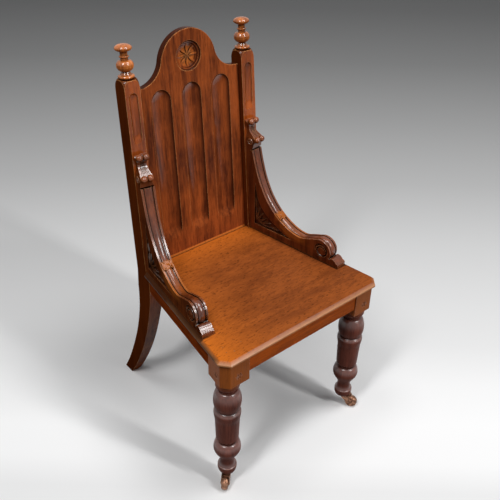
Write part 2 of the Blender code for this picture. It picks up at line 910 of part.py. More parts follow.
def flower_cutter(name, frame):
    """A shallow six-lobed flower, sunk into a face of the block."""
    count = flower_lobes * 6
    points = []
    for i in range(count):
        angle = 2 * pi * i / count
        radius = leg_flower_radius * (1 - flower_lobe_share * (1 - cos(flower_lobes * angle)))
        points.append((radius * cos(angle), radius * sin(angle)))
    return board(name, points, 2 * leg_flower_depth, frame)


def caster_screw_spots():
    return [(caster_screw_circle * cos(a), caster_screw_circle * sin(a))
            for a in (pi / 2, pi / 2 + 2 * pi / 3, pi / 2 + 4 * pi / 3)]


def caster_screw(name, spot, grow):
    """A plate screw, upright, its head flush in the plate's lower face."""
    base = leg_foot_height - gap - caster_plate_thickness
    head, shank = caster_screw_head_radius + grow, caster_screw_radius + grow
    profile = [(0, caster_screw_length + grow), (shank, caster_screw_length - shank + grow),
               (shank, caster_screw_head_depth), (head, grow), (head, -grow), (0, -grow)]
    if grow == 0:
        profile = profile[:4] + [(0, 0)]
    return turned(name, profile, screw_facets, Matrix.Translation((spot[0], spot[1], base)))


def make_front_legs():
    block_bottom = rail_bottom - leg_block_drop
    top = eased(slab("leg_block", leg_block_outline(), block_bottom, rail_top), leg_block_round)
    axis = Vector((-leg_axis_x, leg_axis_y, 0))
    turning = turned("turning", leg_profile(), leg_facets, Matrix.Translation(axis))
    leg = join(top, turning)
    leg = cut(leg, front_tenons("mortise", gap))
    leg = cut(leg, side_tenons("mortise", gap))
    face_y = front_y + rail_inset - leg_block_proud
    front_spot = Matrix.Translation((-leg_axis_x + leg_flower_inward, face_y, leg_flower_height))
    leg = cut(leg, flower_cutter("flower", front_spot @ Matrix.Rotation(pi / 2, 4, "X")))
    side_face = -seat_line(leg_block_proud - rail_inset, leg_axis_y)
    side_spot = Matrix.Translation((side_face, leg_axis_y, leg_flower_height))
    side_turn = Matrix.Rotation(-splay, 4, "Z") @ Matrix.Rotation(pi / 2, 4, "Y")
    leg = cut(leg, flower_cutter("flower", side_spot @ side_turn))
    bore_top = leg_foot_height + caster_pin_length + gap * 4
    bore = peg("bore", caster_pin_radius + bore_gap, (0, 0, leg_foot_height - overrun),
               (0, 0, bore_top))
    bore.data.transform(Matrix.Translation(axis))
    leg = cut(leg, bore)
    for spot in caster_screw_spots():
        hole = caster_screw("hole", spot, bore_gap)
        hole.data.transform(Matrix.Translation(axis))
        leg = cut(leg, hole)
    right = mirrored(leg, "right_front_leg")
    place(smooth(leg), "left_front_leg", dark_oak)
    place(smooth(right), "right_front_leg", dark_oak)


# Back panel

def crest_outline():
    """Front outline of the panel in its own plane, counter-clockwise from bottom left."""
    bottom = seat_bottom - overrun
    shoulder = panel_shoulder_height
    centre = (0, up_the_face(crest_centre_height))
    rise = up_the_face(shoulder) + crest_cove_radius - centre[1]
    cove = (sqrt((crest_radius + crest_cove_radius) ** 2 - rise ** 2), centre[1] + rise)
    join_angle = atan(rise / cove[0])
    right = arc(cove, crest_cove_radius, -pi / 2, join_angle - pi, arc_steps)
    crown = arc(centre, crest_radius, join_angle, pi / 2, arc_steps * 2)
    half = [(panel_half_width(z), up_the_face(z)) for z in (bottom, shoulder)] + right + crown[1:]
    left = [(-x, y) for x, y in reversed(half[:-1])]
    return half + left


def petal_cutter(angle, frame):
    """One petal of the roundel's flower, a shallow pointed dish."""
    bpy.ops.mesh.primitive_uv_sphere_add(segments=8, ring_count=4, radius=1)
    petal = bpy.context.active_object
    petal.scale = (petal_length / 2, petal_width / 2, petal_depth)
    spin = Matrix.Rotation(angle, 4, "Z") @ Matrix.Translation((petal_ring_radius, 0, 0))
    petal = settle(petal)
    petal.data.transform(frame @ spin)
    return petal


def make_panel():
    face = raked_frame(0, panel_face_y)
    middle = face @ Matrix.Translation((0, 0, -panel_thickness / 2))
    outline = crest_outline()
    panel = board("panel", outline, panel_thickness, middle)
    panel = eased(panel, panel_arris, radians(60))
    panel = join(panel, tongue("tongue", 0))
    for step in (-1, 0, 1):
        spot = face @ Matrix.Translation((step * panel_flute_pitch, 0, 0))
        panel = cut(panel, scoop("flute", panel_flute_width, panel_flute_depth,
                                 up_the_face(panel_flute_bottom), up_the_face(panel_flute_top),
                                 panel_flute_ramp, spot))
    centre = face @ Matrix.Translation((0, up_the_face(roundel_height), 0))
    dish = [(0, overrun), (roundel_radius, overrun)]
    dish += [(roundel_radius * out, -roundel_depth * down) for out, down in roundel_shares]
    panel = cut(panel, turned("dish", dish, leg_facets, centre))
    floor = centre @ Matrix.Translation((0, 0, -roundel_depth))
    for i in range(petal_count):
        panel = cut(panel, petal_cutter(2 * pi * i / petal_count, floor))
    panel = cut(panel, everything_below("floor", seat_bottom))
    place(panel, "back_panel", red_oak)


# Wings

wing_foot_back = wing_height * stile_rake + overrun * 3
wing_front_shares = (
    (-0.060, 0.985), (-0.034, 0.964), (-0.042, 0.912), (-0.052, 0.882), (-0.026, 0.858),
    (0.020, 0.836), (0.050, 0.817), (0.053, 0.796), (0.040, 0.768), (0.013, 0.738))
wing_curve_shares = (
    (0.013, 0.731), (0.021, 0.700), (0.033, 0.657), (0.050, 0.602), (0.072, 0.540), (0.098, 0.478),
    (0.130, 0.418), (0.167, 0.358), (0.213, 0.302), (0.265, 0.252), (0.325, 0.207), (0.392, 0.172),
    (0.462, 0.143), (0.528, 0.128), (0.593, 0.127))
toe_shares = ((0.06, 0.51), (0.15, 0.65), (0.32, 0.69), (0.50, 0.64), (0.73, 0.44), (0.94, 0.35),
              (1, 0.24), (1, 0))
spandrel_curve_shares = (
    (0.050, 0.457), (0.070, 0.360), (0.100, 0.284), (0.157, 0.216), (0.228, 0.165), (0.333, 0.113),
    (0.415, 0.081), (0.483, 0.063))


def wing_points(shares):
    return [(along * wing_reach, up * wing_height) for along, up in shares]


def volute_arc():
    """The scroll that ends the arm, from its back over the top to its front."""
    return arc((volute_reach, volute_height), volute_radius, volute_start, volute_end, arc_steps * 2)


def toe_points():
    """The rounded toe in front of the volute, with its small front lip."""
    start = volute_arc()[-1]
    run = wing_reach - start[0]
    return [(start[0] + run * ahead, volute_radius * up) for ahead, up in toe_shares]


def wing_edge():
    """The moulded front edge of the arm, from under its scroll to the volute's end."""
    curve = wing_points(wing_curve_shares)
    rounded = volute_arc()
    middle = ((curve[-1][0] + rounded[0][0]) / 2, (curve[-1][1] + rounded[0][1]) / 2)
    return curve + [middle] + rounded


def edge_normals(path):
    """Unit normals that point out of the arm, to the front, along its edge."""
    normals = []
    for i, point in enumerate(path):
        before = Vector(path[max(i - 1, 0)])
        after = Vector(path[min(i + 1, len(path) - 1)])
        run = (after - before).normalized()
        normals.append(Vector((-run.y, run.x)))
    return normals


def band_profile():
    """Half of the moulding's section, from its outer edge to its middle: (across, out)."""
    half = wing_thickness / 2
    bead_half = half - wing_fillet - wing_quirk
    points = [(half, 0), (half - wing_fillet, 0)]
    points.append((half - wing_fillet - wing_quirk / 2, -wing_quirk_depth))
    rise = wing_bead_rise + wing_quirk_depth
    for i in range(4):
        angle = pi / 2 * i / 4
        points.append((bead_half * cos(angle), -wing_quirk_depth + rise * sin(angle)))
    return points + [(0, wing_bead_rise)]


def wing_band():
    """The reeded moulding: two edge fillets with a bead between, swept along the edge."""
    path = wing_edge()
    half_section = band_profile()
    section = half_section + [(-across, out) for across, out in reversed(half_section[:-1])]
    half = wing_thickness / 2
    section = [(half, -wing_band_depth)] + section + [(-half, -wing_band_depth)]
    loops = []
    for point, normal in zip(path, edge_normals(path)):
        loops.append([Vector((point[0] + normal.x * out, point[1] + normal.y * out, across))
                      for across, out in section])
    return loft("band", loops)


def moved_in(path, distance):
    return [(point[0] - normal.x * distance, point[1] - normal.y * distance)
            for point, normal in zip(path, edge_normals(path))]


def spandrel_outline():
    """The curved triangle sunk into each side of the wing."""
    return [(wing_stile_border, wing_border)] + list(reversed(wing_points(spandrel_curve_shares)))


def wing_board():
    half = wing_thickness / 2
    core = moved_in(wing_edge(), wing_band_depth / 2)
    back = -wing_foot_back
    scroll = wing_points(wing_front_shares)
    outline = [(back, 0), (back, scroll[0][1])] + scroll + core + toe_points()
    made = board("wing", list(reversed(outline)), wing_thickness)
    made = join(made, wing_band())
    for side in (1, -1):
        face = Matrix.Translation((0, 0, side * half))
        made = cut(made, board("spandrel", spandrel_outline(), 2 * wing_recess_depth, face))
        ring_inner = volute_radius - volute_ring
        eye = face @ Matrix.Translation((volute_reach + volute_eye_ahead, volute_height, 0))
        groove = [(ring_inner, overrun), (ring_inner, -volute_sunk), (volute_eye_radius, -volute_sunk),
                  (volute_eye_radius, overrun)]
        if side < 0:
            eye = eye @ Matrix.Rotation(pi, 4, "X")
        made = cut(made, turned("eye", groove + groove[:1], finial_facets, eye))
    return made


def add_ball(made, centre, radius):
    bpy.ops.mesh.primitive_uv_sphere_add(segments=10, ring_count=6, radius=radius)
    ball = settle(bpy.context.active_object)
    ball.data.transform(Matrix.Translation(centre))
    return join(made, ball)


def wing_scroll(made):
    """The carved leaf scroll at the top: two pairs of buds and a roll on each side."""
    half = wing_thickness / 2
    upper, lower = wing_points(wing_front_shares)[1], wing_points(wing_front_shares)[6]
    for side in (1, -1):
        across = side * (half - bud_radius + bud_overlap)
        for spot, (back, down) in ((upper, upper_bud_shares), (lower, lower_bud_shares)):
            centre = (spot[0] - bud_radius * back, spot[1] - bud_radius * down, across)
            made = add_ball(made, centre, bud_radius)
        roll = Matrix.Translation((lower[0] - bud_radius * roll_shares[0],
                                   lower[1] - bud_radius * roll_shares[1], 0))
        start = roll @ Vector((0, 0, side * (half - overrun)))
        end = roll @ Vector((0, 0, side * (half + scroll_side_rise)))
        made = join(made, peg("roll", scroll_radius, start, end, finial_facets))
    return made


def wing_boss(made):
    """The square boss on the arm's front, half way down its curve."""
    path = wing_edge()
    target = Vector((boss_reach, boss_height))
    index = min(range(len(path)), key=lambda i: (Vector(path[i]) - target).length)
    normal = edge_normals(path)[index]
    turn = Matrix.Identity(4)
    run = Vector((normal.y, -normal.x))
    for column, axis in enumerate(((run.x, run.y, 0), (0, 0, 1), (normal.x, normal.y, 0))):
        turn.col[column] = (*axis, 0)
    turn.translation = (path[index][0], path[index][1], 0)
    width = wing_thickness / 2 - boss_margin
    base = [(-boss_half, -width), (boss_half, -width), (boss_half, width), (-boss_half, width)]
    stone = board("boss", base, wing_band_depth + 2 * boss_rise,
                  turn @ Matrix.Translation((0, 0, -wing_band_depth / 2)))
    return join(made, eased(stone, boss_ease))


def widened(made):
    """Widen the arm towards its top, on its inner side only, to meet the stile's width."""
    half = wing_thickness / 2
    for vertex in made.data.vertices:
        spot = vertex.co
        inward = (half - spot.z) / wing_thickness
        spot.z -= wing_taper * inward * spot.y / wing_height
    return made


def make_wings():
    wing = widened(wing_scroll(wing_boss(wing_board())))
    wing.data.transform(left_wing_frame)
    trim = everything_below("trim", gap)
    trim.data.transform(raked_frame(-stile_outer_x, stile_face_y))
    wing = cut(wing, trim)
    wing = cut(wing, everything_below("floor", seat_height + gap))
    for along in seat_dowel_reaches:
        wing = cut(wing, seat_dowel("hole", along, gap))
    wing = cut(wing, stile_dowel("hole", gap))
    right = mirrored(wing, "right_wing")
    place(smooth(wing), "left_wing", red_oak)
    place(smooth(right), "right_wing", red_oak)


def make_dowels():
    names = ("rear", "front")
    for where, reach in zip(names, seat_dowel_reaches):
        left = seat_dowel("dowel", reach, 0)
        right = mirrored(left, "dowel_right")
        place(smooth(left), "left_wing_" + where + "_dowel", deal_wood)
        place(smooth(right), "right_wing_" + where + "_dowel", deal_wood)
    left = stile_dowel("dowel", 0)
    right = mirrored(left, "dowel_right")
    place(smooth(left), "left_wing_stile_dowel", deal_wood)
    place(smooth(right), "right_wing_stile_dowel", deal_wood)


# Finials

def finial_profile():
    """From the button's crown down to the dowel's end, heights from the post's top."""
    base = stile_top_height
    neck = finial_neck_radius
    button = finial_button_height - base
    profile = [(0, button + finial_button_half)]
    profile += bead(finial_button_radius, 0, button, finial_button_half, 8)[1:-1]
    profile += [(neck, button - finial_button_half)]
    profile += bead(finial_bead_radius, neck, finial_bead_height - base, finial_bead_half, 3)
    ball = bead(finial_ball_radius, neck, finial_ball_height - base, finial_ball_half, 8)
    for i, (radius, height) in enumerate(ball):
        profile.append((radius - finial_groove if i == 4 else radius, height))
    profile += bead(finial_ring_radius, finial_hollow_radius, finial_ring_height - base,
                    finial_ring_half, 4)
    profile += [(finial_seat_radius, gap), (finial_dowel_radius, gap),
                (finial_dowel_radius, -finial_dowel_length), (0, -finial_dowel_length)]
    return profile


def make_finials():
    left = turned("finial", finial_profile(), finial_facets, post_frame(stile_top_height))
    right = mirrored(left, "right_finial")
    place(smooth(left), "left_finial", light_oak)
    place(smooth(right), "right_finial", light_oak)


# Casters

def caster_frame(axis, direction):
    """Frame on the caster's swivel axis, its x along the wheel's trail."""
    frame = Matrix.Identity(4)
    across = Vector((-direction.y, direction.x, 0))
    for column, vector in enumerate((direction, across, Vector((0, 0, 1)))):
        frame.col[column] = (*vector, 0)
    frame.translation = axis
    return frame


def horn():
    """The forked brass horn with its swivel pin, about the swivel axis."""
    roof_top = leg_foot_height - gap - caster_plate_thickness - gap
    roof_bottom = 2 * caster_wheel_radius + caster_roof_gap
    half = caster_wheel_width / 2 + caster_cheek_gap
    outer = half + caster_cheek_thickness
    boss = [(0, roof_top), (caster_boss_radius, roof_top), (caster_boss_radius, roof_bottom),
            (caster_boss_foot_radius, roof_bottom - overrun), (0, roof_bottom - overrun - gap)]
    made = turned("horn", boss, caster_facets)
    eye = (caster_trail, caster_wheel_radius)
    cheek = arc(eye, caster_eye_radius, caster_cheek_start, caster_cheek_end, arc_steps)
    cheek += [(caster_roof_reach, roof_top - gap), (0, roof_top - gap), (0, roof_bottom - overrun),
              (caster_throat_reach, caster_throat_height)]
    for side in (1, -1):
        frame = Matrix.Translation((0, side * (half + outer) / 2, 0)) @ Matrix.Rotation(pi / 2, 4, "X")
        made = join(made, board("cheek", cheek, caster_cheek_thickness, frame))
    roof = block("roof", (-gap, -outer + gap, roof_bottom),
                 (caster_roof_reach - gap, outer - gap, roof_top - gap * 2))
    made = join(made, roof)
    made = join(made, peg("pin", caster_pin_radius, (0, 0, roof_bottom),
                          (0, 0, leg_foot_height + caster_pin_length - gap * 8), caster_facets))
    for name, radius, reach in (("hole", caster_axle_radius + bore_gap / 2, outer + overrun),
                                ("room", caster_wheel_radius + caster_roof_gap, half)):
        low = (caster_trail, -reach, caster_wheel_radius)
        high = (caster_trail, reach, caster_wheel_radius)
        made = cut(made, peg(name, radius, low, high, leg_facets))
    return made


def caster_axle():
    """A riveted pin through both cheeks, lying along the local y axis."""
    reach = caster_wheel_width / 2 + caster_cheek_gap + caster_cheek_thickness + gap
    head = reach + caster_axle_head
    half = [(0, head), (caster_axle_crown_radius, head), (caster_axle_head_radius, reach),
            (caster_axle_radius, reach)]
    profile = half + [(radius, -height) for radius, height in reversed(half)]
    frame = Matrix.Translation((caster_trail, 0, caster_wheel_radius)) @ Matrix.Rotation(pi / 2, 4, "X")
    return turned("axle", profile, caster_facets, frame)


def caster_wheel():
    """A crowned brass wheel with a turned line near each edge."""
    half = caster_wheel_width / 2
    rim = caster_wheel_radius
    edge = rim - caster_wheel_crown
    bore = caster_axle_radius + bore_gap
    hub, web, crown = (share * rim for share in caster_wheel_shares)
    outer = [(bore, half), (hub, half), (web, half - caster_groove),
             (edge - caster_groove, half), (edge, half - caster_groove), (rim, half - crown)]
    profile = outer + [(radius, -height) for radius, height in reversed(outer)]
    frame = Matrix.Translation((caster_trail, 0, caster_wheel_radius)) @ Matrix.Rotation(pi / 2, 4, "X")
    return turned("wheel", profile + profile[:1], caster_facets, frame)


def caster_plate():
    """The round plate that is screwed under the leg's toe."""
    top = leg_foot_height - gap
    bottom = top - caster_plate_thickness
    bore = caster_pin_radius + bore_gap
    rim = caster_plate_radius
    profile = [(bore, top), (rim - gap, top), (rim, top - gap), (rim, bottom + gap * 3),
               (rim - gap * 3, bottom), (bore, bottom), (bore, top)]
    plate = turned("plate", profile, caster_facets)
    for spot in caster_screw_spots():
        plate = cut(plate, caster_screw("hole", spot, bore_gap / 2))
    return plate


def make_caster(side_name, side, direction):
    axis = Vector((side * leg_axis_x, leg_axis_y, 0))
    fixed = Matrix.Translation(axis)
    turning = caster_frame(axis, direction)
    plate = caster_plate()
    plate.data.transform(fixed)
    place(smooth(plate), side_name + "_caster_plate", brass)
    for number, spot in enumerate(caster_screw_spots()):
        screw = caster_screw("screw", spot, 0)
        base = leg_foot_height - gap - caster_plate_thickness
        low = (spot[0] - overrun, spot[1] - screw_slot_width / 2, base - overrun)
        high = (spot[0] + overrun, spot[1] + screw_slot_width / 2, base + screw_slot_depth)
        screw = cut(screw, block("slot", low, high))
        screw.data.transform(fixed)
        place(smooth(screw), side_name + "_caster_screw_" + str(number + 1), brass)
    swivel = bpy.data.objects.new(side_name + "_caster_swivel", None)
    swivel.matrix_world = turning
    axle_point = bpy.data.objects.new(side_name + "_caster_axle_line", None)
    axle_point.matrix_world = turning @ Matrix.Translation((caster_trail, 0, caster_wheel_radius))
    chair.objects.link(swivel)
    chair.objects.link(axle_point)
    bpy.context.view_layer.update()
    for made, part, parent in ((horn(), "horn", swivel), (caster_axle(), "axle", swivel),
                               (caster_wheel(), "wheel", axle_point)):
        made.data.transform(turning)
        place(smooth(made), side_name + "_caster_" + part, brass, parent)


make_stiles()
make_rails()
make_seat()
make_glue_blocks()
make_front_legs()
make_panel()
make_wings()
make_dowels()
make_finials()
make_caster("left", -1, left_trail_direction)
make_caster("right", 1, right_trail_direction)
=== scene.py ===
"""The looks of a Gothic-revival oak hall chair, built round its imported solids.
Metres, +Z up, and the chair faces -Y. Each piece keeps the size and place of its solid."""

from math import atan, cos, hypot, pi, radians, sin, sqrt

import bmesh
import bpy
from mathutils import Matrix, Vector


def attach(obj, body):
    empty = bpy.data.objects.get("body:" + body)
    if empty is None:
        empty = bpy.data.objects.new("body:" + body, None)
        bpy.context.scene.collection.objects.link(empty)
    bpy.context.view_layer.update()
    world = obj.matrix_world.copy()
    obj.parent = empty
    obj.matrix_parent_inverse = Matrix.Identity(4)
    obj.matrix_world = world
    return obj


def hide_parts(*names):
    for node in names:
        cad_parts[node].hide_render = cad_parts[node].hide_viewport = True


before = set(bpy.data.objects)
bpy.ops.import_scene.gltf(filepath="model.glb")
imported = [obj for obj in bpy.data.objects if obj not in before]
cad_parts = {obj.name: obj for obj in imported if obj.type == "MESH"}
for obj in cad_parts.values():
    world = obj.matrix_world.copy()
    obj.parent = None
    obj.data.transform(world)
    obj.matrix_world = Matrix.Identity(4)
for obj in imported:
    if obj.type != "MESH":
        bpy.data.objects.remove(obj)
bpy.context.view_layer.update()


# Stiles
# Each back post and its sabre leg are one oak plank, sawn to shape and raked back. The top
# is rounded to the finial's foot, and a round-topped flute is gouged in the front face.

seat_height = 0.445
seat_thickness = 0.012
seat_bottom = seat_height - seat_thickness
rail_bottom = 0.382
stile_outer_x = 0.1914
stile_width = 0.0404
stile_lean = 0.0071
stile_rake = 0.0791
rake_angle = atan(stile_rake)
stile_face_y = 0.1191
stile_depth = 0.0401
stile_top = 0.936
stile_shoulder = 0.911
shoulder_radius = 0.0185
foot_outer_x = 0.1885
foot_width = 0.0295
half_depth = 0.2819
foot_depth = 0.036
knee_front_y = 0.1074
knee_back_y = 0.162
stile_arris = 0.0011
stile_flute_width = 0.0235
stile_flute_depth = 0.0055
stile_flute_bottom = 0.785
stile_flute_top = 0.907
sabre_shares = ((0, 0, 0), (0.10, 0.165, 0.180), (0.20, 0.315, 0.335), (0.30, 0.45, 0.475),
                (0.42, 0.595, 0.630), (0.54, 0.715, 0.765), (0.66, 0.815, 0.872),
                (0.78, 0.90, 0.955), (0.90, 0.968, 0.995), (1, 1, 1))
overrun = 0.004
weld = 0.000002
plain_angle = radians(28)
round_angle = radians(38)


class Wire:
    """A socket of a finish's nodes: sums written on it become Math nodes."""

    def __init__(self, tree, socket=None):
        self.tree = tree
        self.socket = socket

    def node(self, kind, settings=None, sockets=None, output=0):
        """Add a node: its settings are set first, then its sockets' values or links."""
        made = self.tree.nodes.new(kind)
        for name, value in (settings or {}).items():
            if name == "stops":
                while len(made.color_ramp.elements) < len(value):
                    made.color_ramp.elements.new(0)
                for element, (spot, colour) in zip(made.color_ramp.elements, value):
                    element.position = spot
                    element.color = (*colour, 1)
            else:
                setattr(made, name, value)
        for name, value in (sockets or {}).items():
            if isinstance(value, Wire):
                self.tree.links.new(value.socket, made.inputs[name])
            else:
                made.inputs[name].default_value = value
        return Wire(self.tree, made.outputs[output])

    def sum(self, operation, first, second=0.0):
        return self.node("ShaderNodeMath", {"operation": operation}, {0: first, 1: second})

    def __add__(self, other):
        return self.sum("ADD", self, other)

    def __sub__(self, other):
        return self.sum("SUBTRACT", self, other)

    def __rsub__(self, other):
        return self.sum("SUBTRACT", other, self)

    def __mul__(self, other):
        return self.sum("MULTIPLY", self, other)

    __radd__ = __add__
    __rmul__ = __mul__

    def within(self, low, high):
        """0 below low, 1 above high, and a soft step between."""
        return self.node("ShaderNodeMapRange", {"interpolation_type": "SMOOTHSTEP"},
                         {"Value": self, "From Min": low, "From Max": high})

    def noise(self, scale, detail=3.0, roughness=0.55):
        return self.node("ShaderNodeTexNoise", None,
                         {"Vector": self, "Scale": scale, "Detail": detail,
                          "Roughness": roughness})

    def stretched(self, scale):
        return self.node("ShaderNodeMapping", None, {"Vector": self, "Scale": scale})

    def mixed(self, share, colour):
        """This colour with a share of another over it."""
        first = self if self.socket is not None else colour
        return self.node("ShaderNodeMix", {"data_type": "RGBA"},
                         {0: share, 6: first, 7: colour}, output=2)


def new_finish(name):
    """A bare finish: its shader and a wire to start nodes from."""
    made = bpy.data.materials.new(name)
    made.use_nodes = True
    made.diffuse_color = (0.2, 0.1, 0.05, 1)
    shader = made.node_tree.nodes["Principled BSDF"]
    return made, shader, Wire(made.node_tree)


along_height = (1, 1, 0.045)
along_width = (0.045, 1, 1)
along_depth = (1, 0.045, 1)
short_grain = (0.22, 1, 1)
# The colour of dark wax, also used for painted shade.
dark_wax_and_shade = (0.012, 0.006, 0.004)


def oak(name, deep, mid, worn_and_highlight, grain=along_height, gloss=0.32, hollow_wax_and_shade=0.8,
        wear_and_highlight=0.55, fleck=0.5, contrast=1.0, polish=(0.30, 0.11, 0.03), edge_radius=0.0014,
        shine=0.0, pore_scale=820.0, pore_share=0.4, side_shade=0.0, shaded_turn=(0.25, 0.85),
        lit_facing=(0, 1, 0), polish_side=(0, 0, 1), polish_turn=(0.2, 0.7), polish_coat=0.0,
        coat_index=1.5):
    """Stained and waxed oak: streaked grain and open pores. The hollows are darkened towards
    the dark wax colour, as dark wax and painted shade, and the arrises take a lighter,
    rubbed colour that is partly a painted highlight. Faces that turn away from the lit side
    are darker, as painted shade."""
    made, shader, start = new_finish(name)
    place = start.node("ShaderNodeTexCoord", output=3)
    run = place.stretched(grain)
    cloud = place.noise(9.0, 3.0)
    figure = run.noise(46.0, 4.0, 0.6)
    streak = run.noise(210.0, 4.0, 0.62)
    pore = run.noise(pore_scale, 2.0, 0.6)
    rays = place.stretched(tuple(1.0 if part == 1 else 0.3 for part in grain)).noise(150.0, 2.0)
    spread = 0.48 / contrast
    tone = (figure * 1.2 + streak * 0.9 + cloud * 0.9 - 1.0).within(0.5 - spread, 0.5 + spread)
    colour = start.node("ShaderNodeMix", {"data_type": "RGBA"},
                        {0: tone, 6: (*deep, 1), 7: (*mid, 1)}, output=2)
    colour = colour.mixed(rays.within(0.58, 0.72) * (fleck * 0.5), (*(part * 1.5 for part in mid), 1))
    # Marked points take the lighter polish colour: real polish on some pieces, painted light on others.
    handled_and_lit = start.node("ShaderNodeAttribute", {"attribute_name": "polish"}, output=2)
    colour = colour.mixed(handled_and_lit * (streak * 0.5 + 0.6), (*polish, 1))
    pores = pore.within(0.56, 0.70)
    colour = colour.mixed(pores * pore_share, (*(part * 0.35 for part in deep), 1))
    # Painted shade: faces turned away from the lit side are darkened.
    toward = start.node("ShaderNodeVectorMath", {"operation": "DOT_PRODUCT"},
                        {0: start.node("ShaderNodeNewGeometry", output=1), 1: lit_facing}, output=1)
    away = 1 - (toward * toward).within(*shaded_turn)
    colour = colour.mixed(away * side_shade, (*(part * 0.45 for part in deep), 1))
    # Ambient occlusion finds the hollows, which are darkened as dark wax and painted shade.
    shade = start.node("ShaderNodeAmbientOcclusion", {"samples": 5, "only_local": True},
                       {"Distance": 0.011}, output=1)
    hollow = 1 - shade.within(0.35, 0.92)
    soft = start.node("ShaderNodeBevel", {"samples": 4}, {"Radius": edge_radius})
    true = start.node("ShaderNodeNewGeometry", output=1)
    turn = start.node("ShaderNodeVectorMath", {"operation": "DOT_PRODUCT"},
                      {0: soft, 1: true}, output=1)
    # Arrises are lighter, as rubbed wear and a painted highlight.
    rubbed_and_highlit = (1 - turn).within(0.02, 0.16) * shade.within(0.55, 0.9)
    rubbed_and_highlit = rubbed_and_highlit * (place.noise(70.0, 3.0).within(0.32, 0.62) * 0.6 + 0.4)
    # Scuffed marks take the same lighter colour, partly as a painted highlight.
    scuffed_and_highlit = start.node("ShaderNodeAttribute", {"attribute_name": "scuff"}, output=2)
    colour = colour.mixed(rubbed_and_highlit * wear_and_highlight + scuffed_and_highlit * (streak * 0.6 + 0.3), (*worn_and_highlight, 1))
    colour = colour.mixed(hollow * hollow_wax_and_shade, (*dark_wax_and_shade, 1))
    # Marked grime darkens towards the dark wax colour, as dark wax and painted shade.
    grime = start.node("ShaderNodeAttribute", {"attribute_name": "grime"}, output=2)
    colour = colour.mixed(grime, (*dark_wax_and_shade, 1))
    shown = start.node("ShaderNodeVectorMath", {"operation": "DOT_PRODUCT"}, {0: true, 1: polish_side},
                       output=1)
    coat = shown.within(*polish_turn) * polish_coat * (1 - hollow * 0.3) * (1 - handled_and_lit * 0.9)
    rough = (streak * 0.16 + pores * 0.16 + hollow * 0.2 + cloud * 0.12 + (gloss - 0.14))
    height = streak * 0.35 - pores * 0.8 + place.noise(26.0, 2.0) * 0.5
    bump = start.node("ShaderNodeBump", None, {"Strength": 0.28, "Distance": 0.0004,
                                               "Height": height, "Normal": soft})
    made.node_tree.links.new(colour.socket, shader.inputs["Base Color"])
    made.node_tree.links.new(rough.socket, shader.inputs["Roughness"])
    made.node_tree.links.new(coat.socket, shader.inputs["Coat Weight"])
    made.node_tree.links.new(bump.socket, shader.inputs["Normal"])
    shader.inputs["Coat Roughness"].default_value = gloss * 0.8
    shader.inputs["Coat IOR"].default_value = coat_index
    shader.inputs["Specular IOR Level"].default_value = shine
    return made


def marked(made, mark, amount):
    """Mark a value at each point of a piece: polish, scuffing and grime, with the painted light and shade
    that go with them.
    """
    values = [amount(vertex.co) for vertex in made.data.vertices]
    made.data.attributes.new(mark, "FLOAT", "POINT").data.foreach_set("value", values)
    return made


def from_bmesh(name, work):
    """Close off a mesh in the making and put it in the scene."""
    bmesh.ops.remove_doubles(work, verts=work.verts, dist=weld)
    bmesh.ops.recalc_face_normals(work, faces=work.faces)
    mesh = bpy.data.meshes.new(name)
    work.to_mesh(mesh)
    work.free()
    made = bpy.data.objects.new(name, mesh)
    bpy.context.scene.collection.objects.link(made)
    return made


def loft(name, rings):
    """A closed solid through rings of points that all have the same count."""
    work = bmesh.new()
    rows = [[work.verts.new(point) for point in ring] for ring in rings]
    for row, after in zip(rows, rows[1:]):
        for i in range(len(row)):
            work.faces.new((row[i - 1], row[i], after[i], after[i - 1]))
    work.faces.new(rows[0])
    work.faces.new(rows[-1])
    return from_bmesh(name, work)


def board(name, outline, thickness, spot=Matrix.Identity(4)):
    """A flat outline with its thickness, about the plane z = 0 of its spot."""
    half = thickness / 2
    return loft(name, [[spot @ Vector((x, y, z)) for x, y in outline] for z in (-half, half)])


def turned(name, profile, facets, spot=Matrix.Identity(4)):
    """A lathe-turned solid; its profile runs from top to bottom as (radius, height)."""
    work = bmesh.new()
    points = [work.verts.new((radius, 0, height)) for radius, height in profile]
    edges = [work.edges.new(pair) for pair in zip(points, points[1:])]
    bmesh.ops.spin(work, geom=points + edges, axis=(0, 0, 1), cent=(0, 0, 0), steps=facets,
                   angle=2 * pi)
    made = from_bmesh(name, work)
    made.data.transform(spot)
    return made


def applied(made):
    """Turn a piece and its modifiers into a plain mesh."""
    graph = bpy.context.evaluated_depsgraph_get()
    mesh = bpy.data.meshes.new_from_object(made.evaluated_get(graph))
    made.modifiers.clear()
    made.data = mesh
    return made


def worked(made, tool, operation):
    """Cut a tool's shape out of a piece, or join the two."""
    step = made.modifiers.new("work", "BOOLEAN")
    step.operation = operation
    step.solver = "EXACT"
    step.object = tool
    applied(made)
    bpy.data.objects.remove(tool)
    return made


def carved(made, tool):
    return worked(made, tool, "DIFFERENCE")


def joined(made, other):
    return worked(made, other, "UNION")


def scored(made, spot, axis, places):
    """Split a piece's faces along lines, so that no cut leaves a hole within one face."""
    work = bmesh.new()
    work.from_mesh(made.data)
    normal = spot.to_3x3() @ Vector(axis)
    for place in places:
        bmesh.ops.bisect_plane(work, geom=work.verts[:] + work.edges[:] + work.faces[:],
                               plane_co=spot @ (Vector(axis) * place), plane_no=normal)
    work.to_mesh(made.data)
    work.free()
    return made


def gathered(made, others):
    """One mesh of several pieces that keep clear of each other."""
    work = bmesh.new()
    for part in [made] + others:
        work.from_mesh(part.data)
    for part in others:
        bpy.data.objects.remove(part)
    work.to_mesh(made.data)
    work.free()
    return made


